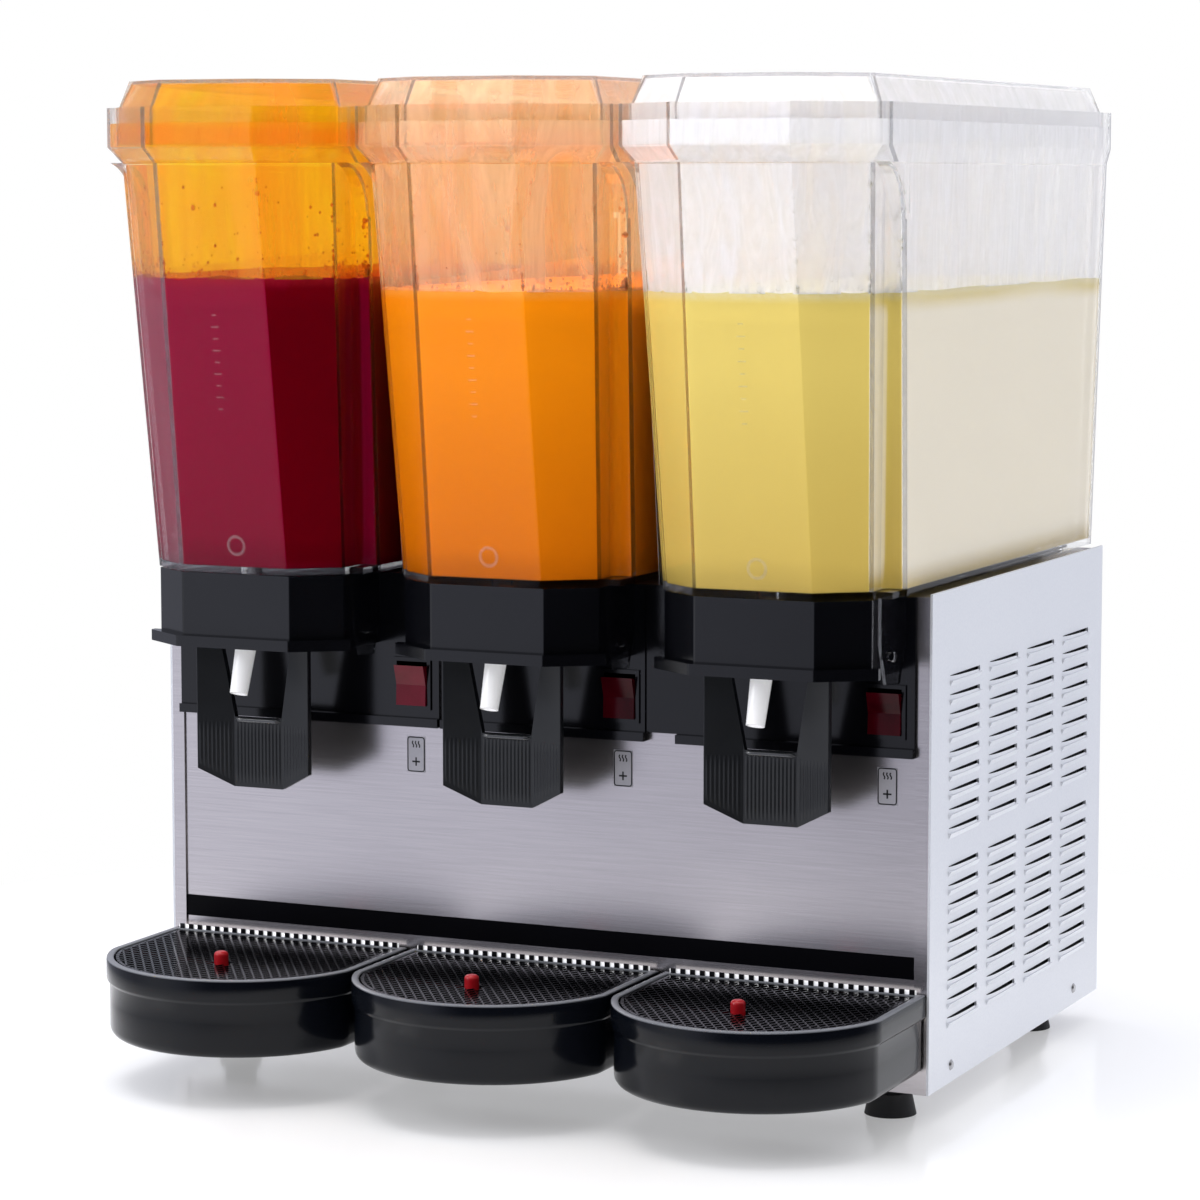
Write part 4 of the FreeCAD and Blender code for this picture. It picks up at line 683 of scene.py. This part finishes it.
def volume_marks(side, cx):
    """Raised ticks up the front facet, and a ring low on it."""
    def wall_y(z):
        share = (z - BOWL_LOW) / (NOSE_TOP - BOWL_LOW)
        return FRONT + LOW_HALF[0][1] * (1 - share) + HIGH_HALF[0][1] * share

    verts, faces = [], []
    for i, z in enumerate(np.arange(TICKS_LOW, TICKS_HIGH, TICK_STEP)):
        half = TICK_HALF[i % 2]
        start = len(verts)
        for low, out in ((-0.0005, MARK_FOOT), (0.0, MARK_RISE), (0.0005, MARK_FOOT)):
            verts += [(cx + x, wall_y(z + low) - out, z + low) for x in (-half, 0.0, half)]
        faces += [[start + k for k in quad] for quad in grid_faces(3, 3, False)]
    start = len(verts)
    for radius, out in ((0.0048, MARK_FOOT), (0.0054, MARK_RISE), (0.0062, MARK_RISE),
                        (0.0068, MARK_FOOT)):
        for a in np.linspace(0, math.tau, 32, endpoint=False):
            z = RING_Z + radius * math.sin(a)
            verts.append((cx + RING_X + radius * math.cos(a), wall_y(z) - out, z))
    faces += [[start + k for k in quad] for quad in grid_faces(4, 32, True)]
    piece = put("volume_marks_" + side, np.array(verts), faces, MARK, "bowl_" + side + "_body")


def lid_film(side, cx):
    """Film inside the lid: up its skirt, in along its crown and across its top."""
    rim = mirrored(RIM_HALF)
    t = LID_IN + LID_WALL + SKIN_GAP
    levels = ((t, LID_LOW + 0.001), (t, RIM_TOP), (t + LID_TAPER, LID_TOP - LID_WALL - SKIN_GAP))
    rings = [lift(rounded(inset(rim, d), np.maximum(both(RIM_RADII) - d, SHARPEST)), z, cx)
             for d, z in levels]
    count = len(rings[0])
    faces = grid_faces(len(rings), count, True)
    faces.append(list(range(2 * count, 3 * count)))
    piece = put("lid_film_" + side, np.vstack(rings), faces, FILM[side], "lid_" + side + "_body",
                smooth=False)


def beads(side, cx):
    """Low domes of drink on the bowl's inside wall, thickest just above the drink's edge.

    Each dome is a ring, a smaller raised ring and a tip, turned to face in from the wall.
    """
    rng = np.random.default_rng(11 + len(side))
    count = BEADS
    level = DRINK_LEVEL[side]
    rise = np.where(rng.random(count) < BEADS_LOW, rng.exponential(0.0045, count),
                    rng.random(count) * (NOSE_TOP - level - 0.01))
    z = np.clip(level + rise, level, NOSE_TOP - 0.003)
    low = wall_outline(level, WALL + SKIN_GAP)
    high = wall_outline(NOSE_TOP, WALL + SKIN_GAP)
    share = ((z - level) / (NOSE_TOP - level))[:, None]
    along = rng.random(count) * len(low)
    at = along.astype(int)
    after = (at + 1) % len(low)
    part = (along - at)[:, None]
    here = low[at] * (1 - share) + high[at] * share
    there = low[after] * (1 - share) + high[after] * share
    foot = here * (1 - part) + there * part
    run = there - here
    run /= np.maximum(np.linalg.norm(run, axis=1), 1e-9)[:, None]
    inward = np.column_stack([-run[:, 1], run[:, 0]])
    radius = BEAD_LEAST + rng.exponential(BEAD_SPREAD, count).clip(0, BEAD_MOST)
    turn = np.linspace(0, math.tau, 6, endpoint=False)
    rows = []
    for spread, depth in ((1.0, 0.0), (0.72, 0.45), (0.0, 0.62)):
        width = radius[:, None] * spread * np.cos(turn)[None]
        tall = radius[:, None] * spread * np.sin(turn)[None] * 1.3
        deep = radius * depth
        rows.append(np.stack([cx + foot[:, 0, None] + run[:, 0, None] * width
                              + (inward[:, 0] * deep)[:, None],
                              FRONT + foot[:, 1, None] + run[:, 1, None] * width
                              + (inward[:, 1] * deep)[:, None],
                              z[:, None] + tall], axis=-1))
    verts = np.stack(rows, axis=1).reshape(-1, 3)
    one = np.array(grid_faces(3, 6, True))
    faces = (one[None] + (np.arange(count) * 18)[:, None, None]).reshape(-1, 4).tolist()
    piece = put("beads_" + side, verts, faces, BEAD[side], "bowl_" + side + "_body")


# ================================================================ drip trays

def tray_outline(grow, cx):
    """Tray's outline moved out by grow: straight back and sides, corner arcs, one wide nose arc."""
    half = TRAY_HALF + grow
    back = -0.003 + grow
    front = -TRAY_REACH - grow
    r = TRAY_CORNER + grow
    nose = half - r
    drop = -TRAY_SIDE - front
    big = (nose * nose + drop * drop - r * r) / (2 * (drop - r))
    centre = front + big
    lean = math.atan2(nose, centre + TRAY_SIDE)
    corner = np.linspace(0, math.pi / 2 - lean, 9)
    right = np.column_stack([nose + r * np.cos(corner), -TRAY_SIDE - r * np.sin(corner)])
    sweep = np.linspace(lean, 0, 14, endpoint=False)[1:]
    bow = np.column_stack([big * np.sin(sweep), centre - big * np.cos(sweep)])
    side = np.column_stack([np.full(5, half), np.linspace(back, -TRAY_SIDE, 6)[:-1]])
    right = np.vstack([side, right, bow])
    left = (right * (-1, 1))[::-1]
    rear = np.column_stack([np.linspace(-half, half, 9)[1:-1], np.full(7, back)])
    outline = np.vstack([right, [[0.0, front]], left, rear])[::-1]
    return np.column_stack([outline[:, 0] + cx, outline[:, 1] + FRONT])


def tray_shell(side, cx):
    """Tray: its outline carried up the outside, over the rim and down the inside to the floor.

    The profile's points are (how far outside the tray's outline, height). Two tongues stand out
    of the tray's back.
    """
    r = TRAY_FOOT_R
    bend = np.linspace(0, math.pi / 2, 5)
    profile = [(-r + r * math.sin(a), TRAY_BOTTOM + r - r * math.cos(a)) for a in bend]
    profile += [(0.0, 0.055), (0.0, 0.0675), (0.0004, 0.0683), (0.0016, 0.0695), (0.002, 0.0705),
                (0.002, 0.0825), (0.0016, 0.0836), (0.0009, 0.084), (-0.0019, 0.084),
                (-0.0026, 0.0837), (-0.003, 0.083), (-0.003, 0.040), (-0.0055, 0.036)]
    rings = []
    for grow, z in profile:
        outline = tray_outline(grow, cx)
        rings.append(np.column_stack([outline, np.full(len(outline), z)]))
    count = len(rings[0])
    faces = grid_faces(len(rings), count, True)
    faces.append(list(range(count))[::-1])
    last = (len(rings) - 1) * count
    faces.append(list(range(last, last + count)))
    verts = [np.vstack(rings)]
    start = len(verts[0])
    for x in (-TONGUE_X, TONGUE_X):
        corners = np.array([(x + a * 0.0098, y, z) for y in (-0.0035, 0.0078)
                            for z in (0.0582, 0.0638) for a in (-1, 1)])
        verts.append(corners + (cx, FRONT, 0.0))
        faces += [[start + i for i in f] for f in ((0, 1, 3, 2), (4, 6, 7, 5), (0, 4, 5, 1),
                                                    (2, 3, 7, 6), (0, 2, 6, 4), (1, 5, 7, 3))]
        start += 8
    piece = put("tray_shell_" + side, np.vstack(verts), faces, TRAY_BLACK_PAINTED_RIM,
                "drip_tray_" + side + "_body")
    piece.data.set_sharp_from_angle(angle=math.radians(40))
    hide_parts("drip_tray_" + side)


def bars(centres, runs, width, top, deep):
    """Square bars: each from its centre line's start to its end, width across and deep down."""
    start, end = centres - runs / 2, centres + runs / 2
    along = runs / np.linalg.norm(runs, axis=1)[:, None]
    across = np.column_stack([-along[:, 1], along[:, 0]]) * (width / 2)
    plan = np.stack([start - across, end - across, end + across, start + across], axis=1)
    z = np.array([top, top - deep])
    verts = np.empty((len(centres), 2, 4, 3))
    verts[..., :2] = plan[:, None]
    verts[..., 2] = z[None, :, None]
    one = np.array([(0, 1, 2, 3), (7, 6, 5, 4), (0, 4, 5, 1), (1, 5, 6, 2), (2, 6, 7, 3),
                    (3, 7, 4, 0)])
    faces = (one[None] + (np.arange(len(centres)) * 8)[:, None, None]).reshape(-1, 4)
    return verts.reshape(-1, 3), faces


def inside(points, outline):
    """True for points inside a closed outline: an odd number of its sides lies to their right."""
    x, y = points[:, 0, None], points[:, 1, None]
    x0, y0 = outline[:, 0][None], outline[:, 1][None]
    x1, y1 = np.roll(outline[:, 0], -1)[None], np.roll(outline[:, 1], -1)[None]
    level = (y0 > y) != (y1 > y)
    cross = x < (x1 - x0) * (y - y0) / np.where(y1 == y0, 1e-12, y1 - y0) + x0
    return (level & cross).sum(axis=1) % 2 == 1


def grille(side, cx):
    """Expanded mesh: crossed diagonals of long diamonds, a flat border and a comb at the back."""
    wide, long = MESH_WIDE, MESH_LONG
    xs = np.arange(-13, 14) * wide
    ys = np.arange(0, 15) * long
    gx, gy = np.meshgrid(xs, ys)
    base = np.column_stack([gx.ravel() + cx, FRONT - 0.006 - gy.ravel()])
    quarter = np.array([wide / 4, long / 4])
    centres, runs = [], []
    for sx, sy in ((1, 1), (-1, 1), (1, -1), (-1, -1)):
        centres.append(base + quarter * (sx, sy))
        runs.append(np.tile((-wide / 2 * sx * sy, long / 2), (len(base), 1)))
    centres, runs = np.vstack(centres), np.vstack(runs)
    border = tray_outline(-0.0058, cx)
    keep = inside(centres, border)
    clear = np.linalg.norm(centres - (cx, FRONT - FLOAT_BACK), axis=1) > FLOAT_HOLE
    verts, faces = bars(centres[keep & clear], runs[keep & clear], MESH_BAR, MESH_TOP, MESH_DEPTH)
    comb = xs[abs(xs) < COMB_HALF] + cx
    teeth = np.column_stack([comb, np.full(len(comb), FRONT - COMB_BACK)])
    more, more_faces = bars(teeth, np.tile((0.0, TOOTH_THICK), (len(comb), 1)), TOOTH_WIDE,
                            TOOTH_TOP, TOOTH_TOP - MESH_TOP)
    faces = np.vstack([faces, more_faces + len(verts)])
    verts = np.vstack([verts, more])
    outer, inner = tray_outline(BORDER_OUT, cx), tray_outline(BORDER_IN, cx)
    rings = np.vstack([np.column_stack([o, np.full(len(o), z)]) for o, z in (
        (outer, MESH_TOP - MESH_DEPTH), (outer, MESH_TOP), (inner, MESH_TOP),
        (inner, MESH_TOP - MESH_DEPTH), (outer, MESH_TOP - MESH_DEPTH))])
    edge = grid_faces(5, len(outer), True)
    faces = faces.tolist() + (np.array(edge) + len(verts)).tolist()
    piece = put("mesh_grille_" + side, np.vstack([verts, rings]), faces, MESH_BLACK,
                "tray_grille_" + side + "_body", smooth=False)
    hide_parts("tray_grille_" + side)


def glint_ledge(side, cx):
    """Strip that stands on the tray's back wall, painted bright and glowing: a painted highlight between
    the grille's teeth.
    """
    x = np.linspace(-STRIP_HALF, STRIP_HALF, 17)
    rows = ((-0.0041, 0.0830), (-0.0041, 0.0866), (-0.0032, 0.0868), (-0.0032, 0.0830))
    verts = np.array([(cx + a, FRONT + y, z) for y, z in rows for a in x])
    piece = put("glint_ledge_" + side, verts, grid_faces(4, 17, False), LEDGE_PAINTED_GLINT,
                "drip_tray_" + side + "_body")


# ================================================================ taps, labels and louvres

def lever_ribs(side, cx):
    """Ribbed skin over the lever's pad: fine upright ribs, fading out at every edge."""
    x = np.linspace(-LEVER_HALF + 0.0012, LEVER_HALF - 0.0012, 190)
    wing = np.clip((abs(x) - LEVER_FACET) / (LEVER_HALF - LEVER_FACET), 0, 1)
    out = wing * LEVER_WING_OUT
    foot = PAD_LOW + wing * PAD_WING_RISE
    v = np.linspace(0, 1, 14)[:, None]
    low, high = foot + 0.003, np.full_like(x, PAD_TOP)
    z = low * (1 - v) + high * v
    fade = np.clip(np.minimum(v, 1 - v) * 8, 0, 1) * np.clip((LEVER_HALF - 0.0012 - abs(x)) * 900, 0, 1)
    valley = np.clip(abs(abs(x) - LEVER_FACET) * 800, 0, 1)
    height = 0.00008 + RIB_RISE * fade * valley * (0.5 + 0.5 * np.cos(x * math.tau / RIB_PITCH))
    y = FRONT + LEVER_FACE - out - height
    verts = np.stack([np.broadcast_to(x + cx, z.shape), np.broadcast_to(y, z.shape), z], axis=-1)
    piece = put("lever_ribs_" + side, verts.reshape(-1, 3), grid_faces(len(v), len(x), False),
                BLACK_SATIN, "tap_lever_" + side + "_body")


def lever_ledge(side, cx):
    """Rounded bead along the top of the pad: a half circle carried across, its ends drawn in."""
    u = np.linspace(-1, 1, 15)
    r = LEDGE_R * np.sqrt(np.clip(1 - np.clip((abs(u) - 0.93) / 0.07, 0, 1) ** 2, 0.02, 1))
    a = np.linspace(-math.pi / 2, math.pi / 2, 9)[:, None]
    x = np.broadcast_to(cx + u * LEDGE_HALF, (9, 15))
    y = FRONT + LEVER_FACE - 0.00005 - r * np.cos(a)
    z = LEDGE_Z + r * np.sin(a)
    piece = put("lever_ledge_" + side, np.stack([x, y, z], axis=-1).reshape(-1, 3),
                grid_faces(9, 15, False), LEDGE_BLACK, "tap_lever_" + side + "_body")


def strip(points, width, y):
    """Flat ribbon on a plane of constant y that follows points in x and z."""
    points = np.array(points)
    run = np.gradient(points, axis=0)
    run /= np.linalg.norm(run, axis=1)[:, None]
    side_way = np.column_stack([-run[:, 1], run[:, 0]]) * (width / 2)
    left, right = points + side_way, points - side_way
    verts = np.vstack([left, right])
    return np.column_stack([verts[:, 0], np.full(len(verts), y), verts[:, 1]]), len(points)


def label_print(x):
    """Thin rounded border, three short waves at its top and a small four-pointed mark below."""
    w, h, r = 0.0060, 0.0112, 0.0016
    zc = LABEL_Z
    turns = np.linspace(0, math.pi / 2, 5)
    corners = ((w - r, h - r), (-w + r, h - r), (-w + r, -h + r), (w - r, -h + r))
    border = np.vstack([np.column_stack([x + a + r * np.cos(turns + k * math.pi / 2),
                                         zc + c + r * np.sin(turns + k * math.pi / 2)])
                        for k, (a, c) in enumerate(corners)])
    marks = [(np.vstack([border, border[:1]]), 0.0008)]
    s = np.linspace(0, 1, 9)
    for dx in (-0.0022, 0.0, 0.0022):
        marks.append((np.column_stack([x + dx + 0.0005 * np.sin(s * math.tau),
                                       zc + 0.0045 + s * 0.0042]), 0.0009))
    t = np.linspace(-0.0028, 0.0028, 5)
    for across in (0, 1):
        marks.append((np.column_stack([x + t * (1 - across), zc - 0.0048 + t * across]), 0.0011))
    return marks


def labels():
    """Printed marks of the three labels, a hair in front of their film."""
    y = FRONT + PANEL_STEP - LABEL_THICK - SKIN_LIFT
    verts, faces, start = [], [], 0
    for x in LABELS_X:
        for points, width in label_print(x):
            made, n = strip(points, width, y)
            verts.append(made)
            i = np.arange(n - 1)
            faces += (np.column_stack([i, i + n, i + n + 1, i + 1]) + start).tolist()
            start += len(made)
    piece = put("label_marks", np.vstack(verts), faces, INK, "case", smooth=False)


def louvre_hoods(side):
    """Pressed hood under each slit.

    u runs back along the slit and v from the hood's foot up to its edge. The hood stands out by
    HOOD_OUT * sin(pi/2 * v) * (1 - (2u - 1)^4), and the gap over it widens to a round end at the back.
    """
    name = "right" if side > 0 else "left"
    face = side * CASE_HALF
    u = np.linspace(0, 1, 17)[None, :]
    v = np.linspace(0, 1, 4)[:, None]
    swell = HOOD_OUT * np.sin(v * math.pi / 2) * (1 - (2 * u - 1) ** 4)
    tail = np.clip((u - 0.86) / 0.07, 0, 1) * np.clip((1.0 - u) / 0.02, 0, 1)
    gap = GAP_LEAST + GAP_GROWTH * u ** 0.7 + GAP_END * tail * tail * (3 - 2 * tail)
    rise = (LOUVRE_H / 2 - gap) * v - HOOD_DROP * (1 - v)
    row = np.array([r for r in range(LOUVRE_ROWS) if r != LOUVRE_BLANK])
    y0 = FRONT + LOUVRE_FRONT + np.arange(4) * LOUVRE_PITCH_Y
    z0 = LOUVRE_LOW + row * LOUVRE_PITCH_Z
    yy = (y0[:, None, None, None] - HOOD_OVERLAP
          + u[None, None] * (LOUVRE_L + 2 * HOOD_OVERLAP))
    zz = z0[None, :, None, None] + rise[None, None]
    shape = np.broadcast_shapes(yy.shape, zz.shape)
    verts = np.stack([np.broadcast_to(face + side * (0.00005 + swell), shape),
                      np.broadcast_to(yy, shape), np.broadcast_to(zz, shape)], axis=-1)
    count = shape[0] * shape[1]
    one = np.array(grid_faces(4, 17, False))
    if side < 0:
        one = one[:, ::-1]
    faces = (one[None] + (np.arange(count) * 68)[:, None, None]).reshape(-1, 4).tolist()
    piece = put("louvre_hoods_" + name, verts.reshape(-1, 3), faces, SIDE_SHEET, "case")


def louvre_shade_sheet(side):
    """Dark sheet inside the case, behind all the louvres of one side: painted shade that darkens their
    slits.
    """
    name = "right" if side > 0 else "left"
    inner = side * (CASE_HALF - SCREEN_IN)
    ys = FRONT + np.linspace(*SCREEN_Y, 12)
    zs = np.linspace(*SCREEN_Z, 10)
    screen = np.array([(inner, y, z) for z in zs for y in ys])
    quads = grid_faces(10, 12, False)
    if side < 0:
        quads = [quad[::-1] for quad in quads]
    piece = put("louvre_shade_sheet_" + name, screen, quads, LOUVRE_SHADE, "case")


# ================================================================ stage, light and camera

def stage():
    """Pale gloss floor; what mirrors it from further off sees the room instead."""
    material, tree, shader = nodes_of("studio floor")
    skin = use(tree, MOULDED, 120.0, 2.0)
    tree.links.new(span(tree, skin.outputs["Shade"], 0.13, 0.18), shader.inputs["Roughness"])
    shader.inputs["Base Color"].default_value = (0.90, 0.90, 0.92, 1.0)
    shader.inputs["Emission Color"].default_value = (1.0, 1.0, 1.0, 1.0)
    shader.inputs["Emission Strength"].default_value = 0.30
    place = add(tree, "ShaderNodeTexCoord").outputs["Object"]
    away = add(tree, "ShaderNodeVectorMath", ((0, place),), operation="LENGTH").outputs["Value"]
    far = add(tree, "ShaderNodeMapRange", (("Value", away), ("From Min", FADE_FROM),
                                           ("From Max", FADE_TO))).outputs["Result"]
    path = add(tree, "ShaderNodeLightPath")
    mirrored_ray = math_node(tree, "MULTIPLY", far, path.outputs["Is Glossy Ray"])
    passing = add(tree, "ShaderNodeBsdfTransparent")
    white = add(tree, "ShaderNodeEmission", (("Color", (1.0, 1.0, 1.0, 1.0)),))
    faded = add(tree, "ShaderNodeMixShader", ((0, far), (1, shader.outputs[0]),
                                              (2, white.outputs[0])))
    mix = add(tree, "ShaderNodeMixShader", ((0, mirrored_ray), (1, faded.outputs[0]),
                                            (2, passing.outputs[0])))
    tree.links.new(mix.outputs[0], tree.nodes["Material Output"].inputs["Surface"])
    size = FLOOR_HALF
    mesh = bpy.data.meshes.new("floor")
    mesh.from_pydata([(-size, -size, 0), (size, -size, 0), (size, size, 0), (-size, size, 0)], [],
                     [(0, 1, 2, 3)])
    mesh.materials.append(material)
    floor = bpy.data.objects.new("floor", mesh)
    floor.location.z = FLOOR_Z
    bpy.context.scene.collection.objects.link(floor)


def studio():
    """Pale room: bright behind, softer at the left, black beyond the right of the front.

    The camera, and light that comes on through the bowls, see it white.
    """
    world = bpy.data.worlds.new("studio")
    bpy.context.scene.world = world
    world.use_nodes = True
    tree = world.node_tree
    back = tree.nodes["Background"]
    place = add(tree, "ShaderNodeTexCoord").outputs["Generated"]
    side = add(tree, "ShaderNodeVectorMath", ((0, place), (1, ROOM_WAY)),
               operation="DOT_PRODUCT").outputs["Value"]
    turn = add(tree, "ShaderNodeMath", ((0, side), (1, 0.5), (2, 0.5)),
               operation="MULTIPLY_ADD").outputs[0]
    room = ramp(tree, turn, tuple((p, tuple(min(1.0, v * tint) for tint in ROOM_TINT))
                                  for p, v in ROOM_SHADES))
    height = add(tree, "ShaderNodeSeparateXYZ", ((0, place),)).outputs["Z"]
    above = add(tree, "ShaderNodeMapRange", (("Value", height), ("From Min", 0.35),
                                             ("From Max", 0.8))).outputs["Result"]
    path = add(tree, "ShaderNodeLightPath")
    onward = add(tree, "ShaderNodeVectorMath", ((0, place), (1, VIEW_WAY)),
                 operation="DOT_PRODUCT").outputs["Value"]
    straight = add(tree, "ShaderNodeMapRange", (("Value", onward), ("From Min", 0.66),
                                                ("From Max", 0.88))).outputs["Result"]
    scattered = math_node(tree, "MINIMUM", path.outputs["Diffuse Depth"], 1.0)
    through = math_node(tree, "MULTIPLY", math_node(tree, "MAXIMUM", straight, scattered),
                        path.outputs["Is Transmission Ray"])
    seen = math_node(tree, "MAXIMUM", path.outputs["Is Camera Ray"], through)
    white = math_node(tree, "MAXIMUM", seen, above)
    colour = add(tree, "ShaderNodeMix", (("Factor", white),), data_type="RGBA")
    tree.links.new(room, colour.inputs["A"])
    colour.inputs["B"].default_value = (1.0, 1.0, 1.0, 1.0)
    tree.links.new(colour.outputs["Result"], back.inputs["Color"])
    for name, place, aim, size, power in (
            ("top lamp", (-0.3, -0.2, 2.4), (0.0, 0.0, 0.0), 1.6, 30.0),
            ("left lamp", (-1.9, -1.6, 1.5), (0.0, -0.1, 0.35), 1.0, 14.0)):
        data = bpy.data.lights.new(name, "AREA")
        data.size = size
        data.energy = power
        lamp = bpy.data.objects.new(name, data)
        lamp.location = place
        away = np.array(place) - np.array(aim)
        lamp.rotation_euler = (math.acos(away[2] / np.linalg.norm(away)), 0.0,
                               math.atan2(away[1], away[0]) + math.pi / 2)
        bpy.context.scene.collection.objects.link(lamp)


def camera():
    """Long lens from the machine's front right, a little above its middle."""
    data = bpy.data.cameras.new("camera")
    data.sensor_width = SENSOR
    data.lens = LENS
    eye = bpy.data.objects.new("camera", data)
    eye.location = EYE
    eye.rotation_euler = tuple(math.radians(turn) for turn in EYE_TURN)
    bpy.context.scene.collection.objects.link(eye)
    bpy.context.scene.camera = eye


# ================================================================ build

dress_frame()
for station, centre in STATIONS:
    drink(station, centre)
    wall_film(station, centre)
    rim_film(station, centre)
    volume_marks(station, centre)
    lid_film(station, centre)
    beads(station, centre)
    tray_shell(station, centre)
    grille(station, centre)
    glint_ledge(station, centre)
    lever_ribs(station, centre)
    lever_ledge(station, centre)
labels()
for way in (-1, 1):
    louvre_hoods(way)
    louvre_shade_sheet(way)
stage()
studio()
camera()
scene = bpy.context.scene
scene.view_settings.view_transform = "Standard"
scene.cycles.max_bounces = 24
scene.cycles.transmission_bounces = 20
scene.cycles.transparent_max_bounces = 32
